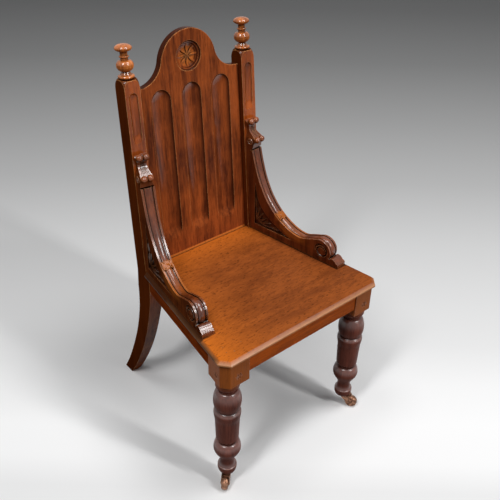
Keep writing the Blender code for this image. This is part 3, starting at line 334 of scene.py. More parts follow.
def eased(made, width, angle=radians(32), segments=2):
    """Round a piece's arrises over a little."""
    soften = made.modifiers.new("ease", "BEVEL")
    soften.width = width
    soften.segments = segments
    soften.limit_method = "ANGLE"
    soften.angle_limit = angle
    return applied(made)


def mirrored(made, name):
    """The other-handed copy of a piece."""
    work = bmesh.new()
    work.from_mesh(made.data)
    bmesh.ops.scale(work, vec=(-1, 1, 1), verts=work.verts)
    bmesh.ops.reverse_faces(work, faces=work.faces)
    mesh = bpy.data.meshes.new(name)
    work.to_mesh(mesh)
    work.free()
    other = bpy.data.objects.new(name, mesh)
    bpy.context.scene.collection.objects.link(other)
    return other


def dressed(made, name, finish, angle=plain_angle):
    """Give a finished mesh its name, its finish and its smooth faces."""
    made.name = name
    made.data.name = name
    made.data.materials.clear()
    made.data.materials.append(finish)
    made.data.shade_smooth()
    made.data.set_sharp_from_angle(angle=angle)
    even = made.modifiers.new("even", "WEIGHTED_NORMAL")
    even.keep_sharp = True
    even.weight = 100
    return applied(made)


def curve_through(points, steps):
    """A smooth run of points through a few given ones."""
    points = [Vector(point) for point in points]
    ends = [2 * points[0] - points[1]] + points + [2 * points[-1] - points[-2]]
    run = []
    for before, start, end, after in zip(ends, ends[1:], ends[2:], ends[3:]):
        for i in range(steps):
            t = i / steps
            run.append(0.5 * (2 * start + (end - before) * t
                              + (2 * before - 5 * start + 4 * end - after) * t * t
                              + (3 * start - before - 3 * end + after) * t * t * t))
    return run + [points[-1]]


def scoop(name, width, depth, bottom, top, ramp, spot, steps=16):
    """A gouge's cut: round in section, with a scooped round top and a ramp at its foot."""
    half = width / 2
    stations = [bottom + ramp * i / steps for i in range(1, steps)]
    stations += [bottom + ramp, top - half]
    stations += [top - half + half * sin(pi / 2 * i / steps) for i in range(1, steps)]
    rings = []
    for u in stations:
        wide, deep = half, depth
        if u < bottom + ramp:
            share = (u - bottom) / ramp
            wide, deep = half * (0.90 + 0.10 * share), depth * (1 - cos(pi * share)) / 2
        elif u > top - half:
            wide = sqrt(max(half ** 2 - (u - top + half) ** 2, (overrun / 8) ** 2))
            deep = depth * wide / half
        floor = [(wide * cos(pi * i / (2 * steps)), -deep * sin(pi * i / (2 * steps)) ** 1.5)
                 for i in range(2 * steps + 1)]
        ring = [(wide, overrun)] + floor + [(-wide, overrun)]
        rings.append([spot @ Vector((x, u, z)) for x, z in ring])
    return loft(name, rings)


def stile_outer(z):
    """The outer face: leaning in above the seat, tapering in below it."""
    if z > seat_bottom:
        return stile_outer_x - stile_lean * (z - seat_height)
    return foot_outer_x + (stile_outer_x - foot_outer_x) * z / seat_bottom


def stile_inner(z):
    if z > rail_bottom:
        return stile_outer(z) - stile_width
    return stile_outer(z) - foot_width - (stile_width - foot_width) * z / rail_bottom


def stile_front(z):
    return stile_face_y + stile_rake * (z - seat_height)


def stile_ring(z, front, back):
    return [(-stile_outer(z), front, z), (-stile_inner(z), front, z),
            (-stile_inner(z), back, z), (-stile_outer(z), back, z)]


def stile_rings():
    rings = []
    for level, ahead, behind in curve_through(sabre_shares, 4):
        front = half_depth - foot_depth + ahead * (knee_front_y - half_depth + foot_depth)
        back = half_depth + behind * (knee_back_y - half_depth)
        rings.append(stile_ring(level * rail_bottom, front, back))
    back = stile_front(seat_bottom) + stile_depth
    rings.append(stile_ring(seat_bottom - weld * 50, knee_front_y, back))
    rings.append(stile_ring(seat_bottom, stile_front(seat_bottom), back))
    rings.append(stile_ring(stile_top, stile_front(stile_top), stile_front(stile_top) + stile_depth))
    return rings


def post_spot(height):
    """A place on the left post's axis, tilted with its rake."""
    rise = height - stile_top
    x = stile_outer(stile_top) - stile_width / 2 + stile_lean * rise
    y = stile_front(stile_top) + stile_depth / 2 + stile_rake * rise
    return Matrix.Translation((-x, y, height)) @ Matrix.Rotation(-rake_angle, 4, "X")


def shoulder_waste():
    """What the turner takes off the square top of a post."""
    corner = hypot(stile_width, stile_depth) / 2
    drop = stile_top - stile_shoulder
    profile = [(shoulder_radius, 0)]
    for i in range(1, 17):
        swing = pi / 2 * i / 16
        profile.append((shoulder_radius + (corner - shoulder_radius) * sin(swing),
                        -drop * (1 - cos(swing))))
    far = corner * 2
    profile += [(far, -drop), (far, overrun), (shoulder_radius, overrun), (shoulder_radius, 0)]
    return turned("waste", profile, 64, post_spot(stile_top))


def raked_spot(x, face_y):
    """A place on a raked face: x across, y up the face, z out of it."""
    return (Matrix.Translation((x, face_y, seat_height))
            @ Matrix.Rotation(pi / 2 - rake_angle, 4, "X"))


def up_the_face(z):
    return (z - seat_height) / cos(rake_angle)


# Its sides, across the chair, are darkened as painted shade.
stile_oak = oak("stile oak", (0.150, 0.028, 0.005), (0.50, 0.105, 0.016), (0.95, 0.46, 0.16), gloss=0.17,
                side_shade=0.85, edge_radius=0.0022, wear_and_highlight=1.0, fleck=0.3, polish_side=(0, -0.9, 0.44),
                polish_turn=(0.4, 0.85), polish_coat=0.55)
left_stile = eased(carved(loft("stile", stile_rings()), shoulder_waste()), stile_arris)
flute_x = -(stile_outer(stile_flute_top) - stile_width / 2)
left_stile = scored(left_stile, Matrix.Identity(4), (1, 0, 0), [flute_x + stile_flute_width / 7])
left_stile = carved(left_stile, scoop(
    "flute", stile_flute_width, stile_flute_depth, up_the_face(stile_flute_bottom),
    up_the_face(stile_flute_top), stile_flute_width, raked_spot(flute_x, stile_face_y), 10))
for side, piece in (("left", left_stile), ("right", mirrored(left_stile, "stile"))):
    dressed(piece, side + "_carved_stile", stile_oak)
    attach(piece, "chair")
    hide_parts(side + "_stile")


# Back panel
# A board let into grooves in the stiles, with an arched crest. Three round-bottomed flutes
# are gouged up its face, and a petalled flower is carved in a dish under the crest.

panel_face_y = 0.1324
panel_thickness = 0.020
panel_arris = 0.0022
foot_shine = 0.0040
panel_shoulder = 0.9055
panel_gap = 0.0003
crest_height = 0.9385
crest_radius = 0.0795
cove_radius = 0.062
panel_flute_width = 0.057
panel_flute_pitch = 0.0878
panel_flute_depth = 0.0075
panel_flute_bottom = 0.496
panel_flute_top = 0.8915
panel_flute_ramp = 0.030
roundel_height = 0.9543
roundel_radius = 0.0357
roundel_depth = 0.0085
petal_count = 8
petal_reach = 0.0290
petal_groove = 0.0026
petal_eye = 0.0080
dish_shares = ((0, 0.80), (0.14, 0.82), (0.34, 0.88), (0.56, 0.90), (0.74, 0.76), (0.88, 0.48),
               (0.96, 0.22), (1, 0))


def arc(centre, radius, start, end, steps):
    angles = [start + (end - start) * i / steps for i in range(steps + 1)]
    return [(centre[0] + radius * cos(a), centre[1] + radius * sin(a)) for a in angles]


def crest_outline():
    """The panel's front outline, counter-clockwise from its bottom left."""
    centre = (0, up_the_face(crest_height))
    rise = up_the_face(panel_shoulder) + cove_radius - centre[1]
    cove = (sqrt((crest_radius + cove_radius) ** 2 - rise ** 2), centre[1] + rise)
    meet = atan(rise / cove[0])
    half = [(stile_inner(z) - panel_gap, up_the_face(z)) for z in (seat_bottom, panel_shoulder)]
    half += arc(cove, cove_radius, -pi / 2, meet - pi, 24)
    half += arc(centre, crest_radius, meet, pi / 2, 40)[1:]
    return half + [(-x, y) for x, y in reversed(half[:-1])]


def dish_depth(share):
    """How deep the dish is at a share of its radius."""
    for (near, shallow), (far, deep) in zip(dish_shares, dish_shares[1:]):
        if share <= far:
            blend = (share - near) / (far - near)
            blend = blend * blend * (3 - 2 * blend)
            return roundel_depth * (shallow + (deep - shallow) * blend)
    return 0


def petal_cut(radius, angle):
    """How much a gouge takes beside and between the petals, at a place in the dish."""
    swing = (angle * petal_count / (2 * pi)) % 1
    off_middle = abs(swing - 0.5) * 2
    if radius > petal_reach:
        return 0
    along = radius / petal_reach
    width = sin(pi * min(along ** 0.8, 1)) * 0.78
    across = (1 - off_middle) / max(width, 0.02)
    blade = max(0, 1 - across * across)
    fall = petal_groove * min(1, radius / petal_eye) * (1 - along) ** 0.3
    vein = 0.28 * max(0, 1 - abs(across) * 5) * (1 - along)
    return fall * (1 - blade + vein) * min(1, (1 - along) * 5)


def dish_tool(spot):
    """The carver's hollow: the dish with its flower left standing in it."""
    work = bmesh.new()
    rounds, spokes = 44, petal_count * 24
    rows = []
    for i in range(1, rounds + 1):
        radius = roundel_radius * i / rounds
        row = []
        for j in range(spokes):
            angle = 2 * pi * j / spokes
            depth = dish_depth(i / rounds) + petal_cut(radius, angle)
            row.append(work.verts.new(spot @ Vector((radius * cos(angle), radius * sin(angle),
                                                     -depth))))
        rows.append(row)
    rows.append([work.verts.new(spot @ Vector((roundel_radius * cos(2 * pi * j / spokes),
                                               roundel_radius * sin(2 * pi * j / spokes),
                                               overrun))) for j in range(spokes)])
    middle = work.verts.new(spot @ Vector((0, 0, -dish_depth(0))))
    for row, after in zip(rows, rows[1:]):
        for j in range(spokes):
            work.faces.new((row[j - 1], row[j], after[j], after[j - 1]))
    for j in range(spokes):
        work.faces.new((rows[0][j], rows[0][j - 1], middle))
    work.faces.new(rows[-1])
    return from_bmesh("dish", work)


# The panel's lit side leans to the right, so the flutes' right walls and its edges take painted shade.
panel_lit_side = Vector((0.25, -1, 0.08)).normalized()
panel_oak = oak("panel oak", (0.085, 0.019, 0.008), (0.44, 0.098, 0.022), (0.95, 0.42, 0.15),
                gloss=0.20, fleck=0.3, side_shade=0.9, edge_radius=0.0024, wear_and_highlight=1.0, contrast=1.1,
                polish=(0.88, 0.25, 0.045), shine=0.02, shaded_turn=(0.50, 0.91), lit_facing=panel_lit_side,
                polish_side=(0.30, -0.85, -0.43), polish_turn=(0.80, 0.97), polish_coat=0.9,
                coat_index=1.8)
panel_face = raked_spot(0, panel_face_y)
panel = board("panel", crest_outline(), panel_thickness,
              panel_face @ Matrix.Translation((0, 0, -panel_thickness / 2)))
panel = eased(panel, panel_arris, radians(60), 2)
panel = scored(panel, panel_face, (1, 0, 0), [panel_flute_pitch * step + panel_flute_width / 6
                                              for step in (-1.5, -1, -0.5, 0, 0.5, 1)])
panel = scored(panel, panel_face, (0, 1, 0), [up_the_face(height) for height in (
    seat_height + foot_shine, seat_height + foot_shine * 1.5, 0.60, 0.75, 0.9047)])
flutes = [scoop("flute", panel_flute_width, panel_flute_depth, up_the_face(panel_flute_bottom),
                up_the_face(panel_flute_top), panel_flute_ramp,
                panel_face @ Matrix.Translation((step * panel_flute_pitch, 0, 0)), 20)
          for step in (-1, 0, 1)]
dish_spot = panel_face @ Matrix.Translation((0, up_the_face(roundel_height), 0))
panel = carved(panel, gathered(dish_tool(dish_spot), flutes))


def panel_polish_and_light(point):
    """Painted light in the shaded middle of the flower, and a painted highlight line along the foot."""
    # Painted light in the flower's dish and a painted highlight along the foot.
    flower = 1 - ((point - dish_spot.translation).length / petal_reach) ** 2
    foot = (seat_height + foot_shine * 1.5 - point.z) / (foot_shine / 2)
    return max(0, flower, min(1, foot))


marked(panel, "polish", panel_polish_and_light)
dressed(panel, "carved_back_panel", panel_oak)
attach(panel, "chair")
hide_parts("back_panel")


# Rails
# Four plain oak rails, tenoned into the legs and stiles, carry the seat. Their solids are
# right as they are, so they only take a finish.

front_y = -0.2739
seat_front_half_width = 0.2483
seat_back_half_width = 0.1871
side_slope = (seat_front_half_width - seat_back_half_width) / (panel_face_y - front_y)
splay = atan(side_slope)

front_rail_oak = oak("front rail oak", (0.22, 0.042, 0.005), (0.62, 0.120, 0.012),
                     (0.60, 0.22, 0.07), along_width, 0.36, shine=0.02)
side_rail_oak = oak("side rail oak", (0.095, 0.018, 0.004), (0.36, 0.062, 0.008),
                    (0.45, 0.16, 0.06), along_depth, 0.36, shine=0.0)
for node, finish in (("front_rail", front_rail_oak), ("back_rail", front_rail_oak),
                     ("left_side_rail", side_rail_oak), ("right_side_rail", side_rail_oak)):
    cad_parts[node].data.materials.clear()
    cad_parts[node].data.materials.append(finish)


# Seat board
# One wide oak board, screwed up from the corner blocks. It is notched round the stiles, its
# front corners are cut off, and its front and sides are chamfered. Years of use polish it;
# its left side and back are painted lighter as painted light, and its sides and joints are
# darkened with dark wax and painted shade.

edge_overhang = 0.008
edge_chamfer = 0.0078
edge_round = 0.0007
corner_cut = 0.018
stile_inner_x = stile_outer_x - stile_width
wing_toe_y = -0.1778
wing_foot_line = (seat_front_half_width + side_slope * front_y) * cos(splay) - 0.0322
joint_wax_and_shade_width = 0.0040
pin_hole_radius = 0.0011
pin_hole_depth = 0.0016
pin_hole_places = ((-0.1715, -0.2382), (-0.2023, -0.2525), (-0.2192, -0.2452), (-0.2152, -0.2270))


def side_x(y):
    """Half the seat's width at a depth."""
    return seat_front_half_width - side_slope * (y - front_y)


def outset(points, amounts):
    """Move each side of a counter-clockwise outline outwards by its own amount."""
    lines = []
    for i, amount in enumerate(amounts):
        start = Vector(points[i])
        run = (Vector(points[(i + 1) % len(points)]) - start).normalized()
        lines.append((start + amount * Vector((run.y, -run.x)), run))
    moved = []
    for i, (start, run) in enumerate(lines):
        before, before_run = lines[i - 1]
        across = before_run.x * run.y - before_run.y * run.x
        offset = start - before
        along = (offset.x * run.y - offset.y * run.x) / across
        moved.append(tuple(before + along * before_run))
    return moved


def seat_outline(overhang):
    """The seat's plan, counter-clockwise, with its moulded sides moved out."""
    notch_y = stile_front(seat_height) - panel_gap - stile_rake * seat_thickness
    back_y = panel_face_y - panel_gap - stile_rake * seat_thickness
    cut_y = front_y + corner_cut
    right = [(seat_front_half_width - corner_cut, front_y), (side_x(cut_y), cut_y),
             (side_x(notch_y), notch_y), (stile_inner_x - panel_gap, notch_y),
             (stile_inner_x - panel_gap, back_y)]
    left = [(-x, y) for x, y in reversed(right)]
    return outset(right + left, [overhang] * 2 + [0] * 5 + [overhang] * 3)


seat_oak = oak("seat oak", (0.165, 0.040, 0.010), (0.34, 0.087, 0.018), (0.75, 0.36, 0.16),
               short_grain, 0.36, hollow_wax_and_shade=0.6, fleck=0.25, contrast=0.9, polish=(0.66, 0.165, 0.016),
               pore_scale=430.0, pore_share=0.8, wear_and_highlight=0.9, edge_radius=0.0020, shine=0.04,
               polish_side=(-0.25, -0.72, 0.65), polish_turn=(0.86, 0.96), polish_coat=0.8,
               coat_index=1.8)
seat = loft("seat", [[(x, y, z) for x, y in seat_outline(edge_overhang - inward)]
                     for z, inward in ((seat_bottom, 0), (seat_height - edge_chamfer, 0),
                                       (seat_height, edge_chamfer))])
seat = eased(seat, edge_round, radians(20))
for axis, reach in (((1, 0, 0), seat_front_half_width), ((0, 1, 0), -front_y)):
    seat = scored(seat, Matrix.Identity(4), axis, [reach * i / 8 for i in range(-7, 8)])
seat_back_y = panel_face_y - panel_gap - stile_rake * seat_thickness
for y in (wing_toe_y, wing_toe_y - joint_wax_and_shade_width, seat_back_y - joint_wax_and_shade_width, seat_back_y - joint_wax_and_shade_width / 3):
    seat = scored(seat, Matrix.Identity(4), (0, 1, 0), [y])
for side in (1, -1):
    line = (side * cos(splay), sin(splay), 0)
    seat = scored(seat, Matrix.Identity(4), line, [wing_foot_line - joint_wax_and_shade_width * share
                                                   for share in (0, 1 / 3, 1)])
for x, y in pin_hole_places:
    hole = [(0, overrun), (pin_hole_radius, overrun), (pin_hole_radius, -pin_hole_depth * 0.6),
            (0, -pin_hole_depth)]
    seat = carved(seat, turned("hole", hole, 14, Matrix.Translation((x, y, seat_height))))


def seat_shade_and_joint_wax(point):
    """Painted shade on the seat's sides and underside, and dark wax with painted shade where the panel and
    the wings stand on the seat.
    """
    if point.z < seat_height - edge_round * 2:
        return 0.85 if point.y > front_y + corner_cut + edge_round else 0
    from_panel = seat_back_y - point.y
    from_wing = wing_foot_line - abs(point.x) * cos(splay) - point.y * sin(splay)
    near_wing = from_wing if point.y > wing_toe_y - weld else joint_wax_and_shade_width
    return min(1, max(0, 1 - max(0, min(from_panel, near_wing)) / (joint_wax_and_shade_width - weld)) * 1.5)


# The seat's left side and back are painted lighter: painted light against the shade that the wing and panel
# throw there.
marked(seat, "polish", lambda point: 0 if point.z < seat_height - edge_round * 2 else min(
    1, max(0, -point.x / seat_front_half_width) ** 2.5 + 0.8 * max(0, point.y / panel_face_y) ** 1.5))
# Painted shade and dark wax on the seat.
marked(seat, "grime", lambda point: 0.9 * seat_shade_and_joint_wax(point))
# The seat's front edge is scuffed lighter, partly as a painted highlight.
marked(seat, "scuff", lambda point: 0.85 if point.z < seat_height - edge_chamfer / 2 and point.y < 0 else 0)
dressed(seat, "polished_seat_board", seat_oak)
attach(seat, "chair")
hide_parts("seat_board")


# Front legs
# Each is turned from a square oak blank. The square is left at the top as a block, its outer
# corner is cut to follow the seat, and a small flower is cut in each of its outer faces.

leg_x = 0.2113
leg_y = -0.2397
leg_block_half = 0.0365
leg_block_proud = 0.0012
leg_block_bottom = 0.360
leg_block_ease = 0.0012
leg_foot = 0.042
leg_neck = (0.0290, 0.3395)
leg_cove = (0.0205, 0.3330)
leg_cove_foot = (0.0205, 0.3245)
leg_ball = (0.0342, 0.2905)
leg_groove = (0.0258, 0.2640)
leg_ring = (0.0334, 0.2515)
leg_ring_foot = (0.0334, 0.2495)
leg_shaft = (0.0304, 0.2250)
leg_waist = (0.0282, 0.1640)
leg_hollow = (0.0215, 0.1590)
leg_hollow_foot = (0.0215, 0.1520)
leg_bulge = (0.0342, 0.1275)
leg_ankle_top = (0.0178, 0.0840)
leg_ankle = (0.0178, 0.0800)
leg_arris = (0.0236, 0.0640)
leg_toe_top = (0.0242, 0.0615)
leg_toe = (0.0242, 0.0565)
leg_sole = (0.0180, 0.0420)
turner_line = 0.0005
flower_height = 0.3865
flower_inward = 0.005
flower_petals = 6
flower_petal = (0.0046, 0.0020, 0.0017)
flower_ring = 0.0048
flower_pit = 0.0016


def ogee(start, end, steps):
    """An S-shaped run between two (radius, height) points, without its first point."""
    run = []
    for i in range(1, steps + 1):
        share = i / steps
        run.append((start[0] + (end[0] - start[0]) * (1 - cos(pi * share)) / 2,
                    start[1] + (end[1] - start[1]) * share))
    return run


def bead(radius, inner, height, half, steps):
    """A rounded ring, from its top edge to its bottom edge."""
    angles = [pi / 2 - pi * i / steps for i in range(steps + 1)]
    return [(inner + (radius - inner) * cos(a), height + half * sin(a)) for a in angles]


def swell(start, end, steps=14):
    """A quarter round between two (radius, height) points: level first, then upright."""
    turns = [pi / 2 * i / steps for i in range(1, steps + 1)]
    return [(start[0] + (end[0] - start[0]) * sin(a), start[1] + (end[1] - start[1]) * (1 - cos(a)))
            for a in turns]


def tuck(start, end, steps=14):
    """A quarter round between two (radius, height) points: upright first, then level."""
    turns = [pi / 2 * i / steps for i in range(1, steps + 1)]
    return [(start[0] + (end[0] - start[0]) * (1 - cos(a)), start[1] + (end[1] - start[1]) * sin(a))
            for a in turns]


def scribed(run, place):
    """Cut a fine turner's line into a run of points, near a share of its length."""
    index = round(place * (len(run) - 1))
    radius, height = run[index]
    return run[:index] + [(radius - turner_line, height)] + run[index + 1:]


def leg_profile():
    profile = [(0, leg_block_bottom + overrun), (leg_neck[0], leg_block_bottom + overrun),
               (leg_neck[0], leg_neck[1] + 0.0008), (leg_neck[0] - 0.0008, leg_neck[1]), leg_cove,
               leg_cove_foot]
    profile += scribed(swell(leg_cove_foot, leg_ball, 18), 0.30)
    profile += tuck(leg_ball, leg_groove)
    profile += scribed(swell(leg_groove, leg_ring, 18), 0.55)
    profile += [leg_ring_foot, (leg_ring_foot[0] - 0.0004, leg_ring_foot[1] - 0.0006)]
    profile += ogee(profile[-1], leg_shaft, 12)
    profile += [leg_waist, leg_hollow, leg_hollow_foot]
    profile += scribed(swell(leg_hollow_foot, leg_bulge, 18), 0.42)
    profile += ogee(leg_bulge, leg_ankle_top, 22) + [leg_ankle]
    profile += tuck(leg_ankle, leg_arris, 10) + [leg_toe_top, leg_toe]
    profile += tuck(leg_toe, leg_sole, 10)
    return profile + [(0, leg_foot)]


def leg_block():
    inner_x = leg_x - leg_block_half
    back_y = leg_y + leg_block_half
    cut_y = front_y + corner_cut
    plan = [(-inner_x, front_y), (-inner_x, back_y), (-side_x(back_y), back_y),
            (-side_x(cut_y), cut_y), (-seat_front_half_width + corner_cut, front_y)]
    plan = outset(plan, [0, 0] + [leg_block_proud] * 3)
    top = seat_bottom - panel_gap
    made = board("block", plan, top - leg_block_bottom,
                 Matrix.Translation((0, 0, (top + leg_block_bottom) / 2)))
    return eased(made, leg_block_ease)


def flower_tools(spot):
    """Small spoon cuts in a ring, with a pit in the middle."""
    length, width, depth = flower_petal
    for i in range(flower_petals):
        work = bmesh.new()
        bmesh.ops.create_uvsphere(work, u_segments=16, v_segments=9, radius=1)
        turn = Matrix.Rotation(2 * pi * i / flower_petals, 4, "Z")
        size = Matrix.Diagonal((length, width, depth, 1))
        work.transform(spot @ turn @ Matrix.Translation((flower_ring, 0, 0)) @ size)
        yield from_bmesh("petal", work)
    pit = [(0, overrun), (flower_pit, overrun), (flower_pit, -flower_pit / 4), (0, -flower_pit)]
    yield turned("pit", pit, 16, spot)


leg_oak = oak("leg oak", (0.058, 0.0155, 0.0110), (0.230, 0.064, 0.040), (0.75, 0.48, 0.38),
              gloss=0.36, shine=0.05, wear_and_highlight=1.0, polish=(0.42, 0.110, 0.014), edge_radius=0.0020,
              contrast=0.8, fleck=0.2, polish_turn=(0.0, 0.45), polish_coat=1.0,
              coat_index=1.8)
leg = joined(leg_block(), turned("turning", leg_profile(), 96, Matrix.Translation((-leg_x, leg_y, 0))))
front_flower = (Matrix.Translation((-leg_x + flower_inward, front_y - leg_block_proud, flower_height))
                @ Matrix.Rotation(pi / 2, 4, "X"))
side_flower = (Matrix.Translation((-side_x(leg_y) - leg_block_proud / cos(splay), leg_y, flower_height))
               @ Matrix.Rotation(-splay, 4, "Z") @ Matrix.Rotation(-pi / 2, 4, "Y"))
for axis, middle in (((1, 0, 0), flower_inward - leg_x), ((0, 1, 0), leg_y), ((0, 0, 1), flower_height)):
    leg = scored(leg, Matrix.Identity(4), axis, [middle - flower_pit * 0.7, middle + flower_pit * 0.7])
for spot in (front_flower, side_flower):
    for tool in flower_tools(spot):
        leg = carved(leg, tool)
marked(leg, "polish", lambda point: 0.9 if point.z > leg_block_bottom - panel_gap else 0)
for side, piece in (("left", leg), ("right", mirrored(leg, "leg"))):
    dressed(piece, side + "_turned_leg", leg_oak, round_angle)
    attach(piece, "chair")
    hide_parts(side + "_front_leg")


# Wings
# Carved oak arms that stand on the seat against the stiles, doweled to both. A reeded band
# runs down the front edge from a leaf scroll, past a square boss, over the volute to the toe.

wing_thickness = 0.0312
wing_half = wing_thickness / 2
wing_inset = 0.0006
wing_reach = 0.300
wing_height = 0.328
wing_taper = 0.0075
wing_back = wing_height * stile_rake + 0.012
band_depth = 0.016
band_fillet = 0.0048
band_quirk = 0.0020
band_quirk_depth = 0.0030
band_rise = 0.0016
band_ease = 0.0005
recess_depth = 0.006
recess_corner = (0.014, 0.019)
volute_centre = (0.2405, 0.0315)
volute_radius = 0.0318
volute_start = radians(118)
volute_end = radians(-24)
volute_eye = (0.2440, 0.0318)
volute_groove = ((0.0205, 0.0066), (0.0105, 0.0040))
volute_groove_depth = 0.0038
volute_turns = 1.45
volute_button = (0.0052, 0.0022)
boss_place = (0.0985, 0.0745)
boss_half = 0.0108
boss_margin = 0.0024
boss_rise = 0.0034
boss_ease = 0.0012
bud_radius = 0.0084
bud_sunk = 0.0006
upper_bud = (-0.0115, 0.3132)
lower_bud = (0.0094, 0.2674)
roll_place = (-0.0074, 0.2602)
pinch = 0.13
roll_radius = 0.0095
roll_rise = 0.0022
vein_width = 0.0017
vein_depth = 0.0019
neck = (0.2905, 0.020, 0.30)
wing_scores = (0.0040, 0.0060, 0.258, 0.264, 0.270, 0.276, 0.282, 0.288, 0.294, 0.300, 0.306, 0.312)
scroll_shares = ((-0.086, 0.966), (-0.062, 0.954), (-0.049, 0.926), (-0.054, 0.892),
                 (-0.034, 0.864), (0.004, 0.840), (0.026, 0.823), (0.029, 0.807),
                 (0.014, 0.778), (0.008, 0.742))
arm_shares = ((0.013, 0.731), (0.021, 0.700), (0.033, 0.657), (0.050, 0.602), (0.072, 0.540),
              (0.098, 0.478), (0.130, 0.418), (0.167, 0.358), (0.213, 0.302), (0.265, 0.252),
              (0.325, 0.207), (0.392, 0.172), (0.462, 0.143), (0.528, 0.128), (0.593, 0.127))
toe_outline = ((0.2712, 0.0165), (0.2738, 0.0206), (0.2790, 0.0219), (0.2845, 0.0205),
               (0.2885, 0.0176), (0.2915, 0.0141), (0.2945, 0.0126), (0.2978, 0.0112), (0.2994, 0.0084),
               (0.2999, 0))
toe_cuts = (-0.0108, -0.0054, 0, 0.0054, 0.0108)
recess_shares = ((0.050, 0.457), (0.070, 0.360), (0.100, 0.284), (0.157, 0.216),
                 (0.228, 0.165), (0.333, 0.113), (0.415, 0.081), (0.483, 0.063))
foliage = (((0.0185, 0.0270), (0.0170, 0.0700), 0.0075), ((0.0170, 0.0640), (0.0158, 0.1010), 0.0060),
           ((0.0160, 0.0960), (0.0152, 0.1330), 0.0036), ((0.0195, 0.0270), (0.0290, 0.0740), 0.0085),
           ((0.0205, 0.0265), (0.0410, 0.0600), 0.0095), ((0.0230, 0.0260), (0.0540, 0.0480), 0.0090),
           ((0.0260, 0.0250), (0.0700, 0.0370), 0.0085), ((0.0280, 0.0228), (0.0840, 0.0262), 0.0062),
           ((0.0760, 0.0260), (0.1080, 0.0290), 0.0056), ((0.1020, 0.0240), (0.1370, 0.0216), 0.0034))
leaf_rise = 0.0042


def wing_run(shares, steps):
    """A smooth run through points given as shares of the wing's reach and height."""
    return curve_through([(along * wing_reach, up * wing_height) for along, up in shares], steps)


def wing_spot():
    """The left wing's own frame: x forward along it, y up, z to its outer side."""
    outward = Vector((-cos(splay), sin(splay), 0))
    forward = Vector((-sin(splay), -cos(splay), 0))
    middle = side_x(stile_face_y) - (wing_inset + wing_half) / cos(splay)
    spot = Matrix.Identity(4)
    for column, axis in enumerate((forward, Vector((0, 0, 1)), outward)):
        spot.col[column] = (*axis, 0)
    spot.translation = (-middle, stile_face_y, seat_height)
    return spot


def arm_path():
    """The banded edge, from under the scroll to the volute's end."""
    curve = [(along * wing_reach, up * wing_height) for along, up in arm_shares]
    volute = arc(volute_centre, volute_radius, volute_start, volute_end, 44)
    middle = ((curve[-1][0] + volute[0][0]) / 2, (curve[-1][1] + volute[0][1]) / 2)
    return curve_through(curve + [middle, volute[0]], 6)[:-1] + [Vector(point) for point in volute]


def path_normals(path):
    """Unit normals out of the arm along its edge."""
    normals = []
    for i in range(len(path)):
        run = (path[min(i + 1, len(path) - 1)] - path[max(i - 1, 0)]).normalized()
        normals.append(Vector((-run.y, run.x)))
    return normals


def band_section():
    """The moulding across the edge, fillet, quirk, reed, quirk, fillet: (across, out)."""
    reed_half = wing_half - band_fillet - band_quirk
    quirk = wing_half - band_fillet - band_quirk / 2
    points = [(wing_half, -band_depth), (wing_half, -band_ease), (wing_half - band_ease, 0),
              (wing_half - band_fillet + band_ease, 0), (wing_half - band_fillet, -band_ease),
              (quirk + band_ease / 2, -band_quirk_depth), (quirk - band_ease / 2, -band_quirk_depth)]
    rise = band_rise + band_quirk_depth
    for i in range(11):
        angle = pi / 2 * i / 11
        points.append((reed_half * cos(angle), rise * sin(angle) - band_quirk_depth))
    return points + [(0, band_rise)] + [(-across, out) for across, out in reversed(points)]


def wing_band(path, normals):
    rings = []
    for point, normal in zip(path, normals):
        rings.append([(point.x + normal.x * out, point.y + normal.y * out, across)
                      for across, out in band_section()])
    return loft("band", rings)


def wing_body(path, normals):
    """The sawn board behind the band, with its scroll at the top and its toe in front."""
    core = [point - normal * band_depth / 2 for point, normal in zip(path, normals)]
    scroll = wing_run(scroll_shares, 5)
    outline = [(-wing_back, 0), (-wing_back, scroll[0].y)] + list(map(tuple, scroll))
    outline += list(map(tuple, core)) + list(toe_outline)
    made = board("body", list(reversed(outline)), wing_thickness)
    return scored(made, Matrix.Identity(4), (0, 1, 0), wing_scores)


def groove_tool(path, normals, across, width, depth):
    """A V-shaped cut along a stretch of the edge, fading out at both ends."""
    rings = []
    last = len(path) - 1
    for i, (point, normal) in enumerate(zip(path, normals)):
        share = i / last
        fade = max(0.08, sin(pi * share) ** 0.5)
        middle = across[0] + (across[1] - across[0]) * share
        rings.append([(point.x + normal.x * out, point.y + normal.y * out, middle + aside)
                      for aside, out in ((-width * fade, overrun / 2), (width * fade, overrun / 2),
                                         (width * fade / 2, 0), (0, -depth * fade),
                                         (-width * fade / 2, 0))])
    return loft("groove", rings)


def ball(centre, radius):
    work = bmesh.new()
    bmesh.ops.create_uvsphere(work, u_segments=28, v_segments=18, radius=radius)
    work.transform(Matrix.Translation(centre))
    return from_bmesh("ball", work)


def side_spot(place, side):
    """A place on one of the wing's flat sides, its z pointing out."""
    spot = Matrix.Translation((place[0], place[1], side * wing_half))
    return spot if side > 0 else spot @ Matrix.Rotation(pi, 4, "X")


def volute_tool(side):
    """The scroll's spiral, sunk in the side and winding in to its eye."""
    (far, wide), (near, narrow) = volute_groove
    rings = []
    steps = 90
    for i in range(steps + 1):
        share = i / steps
        radius = far + (near - far) * share
        width = wide + (narrow - wide) * share
        fade = min(1, share * 8 + 0.05)
        depth = volute_groove_depth * fade
        angle = radians(200) - 2 * pi * volute_turns * share
        rings.append([(volute_eye[0] + (radius + aside * fade) * cos(angle),
                       volute_eye[1] + (radius + aside * fade) * sin(angle), side * (wing_half + out))
                      for aside, out in ((-width / 2, overrun / 2), (width / 2, overrun / 2),
                                         (width / 2, -depth * 0.55), (width / 5, -depth),
                                         (-width / 5, -depth), (-width / 2, -depth * 0.35))])
    return loft("spiral", rings)


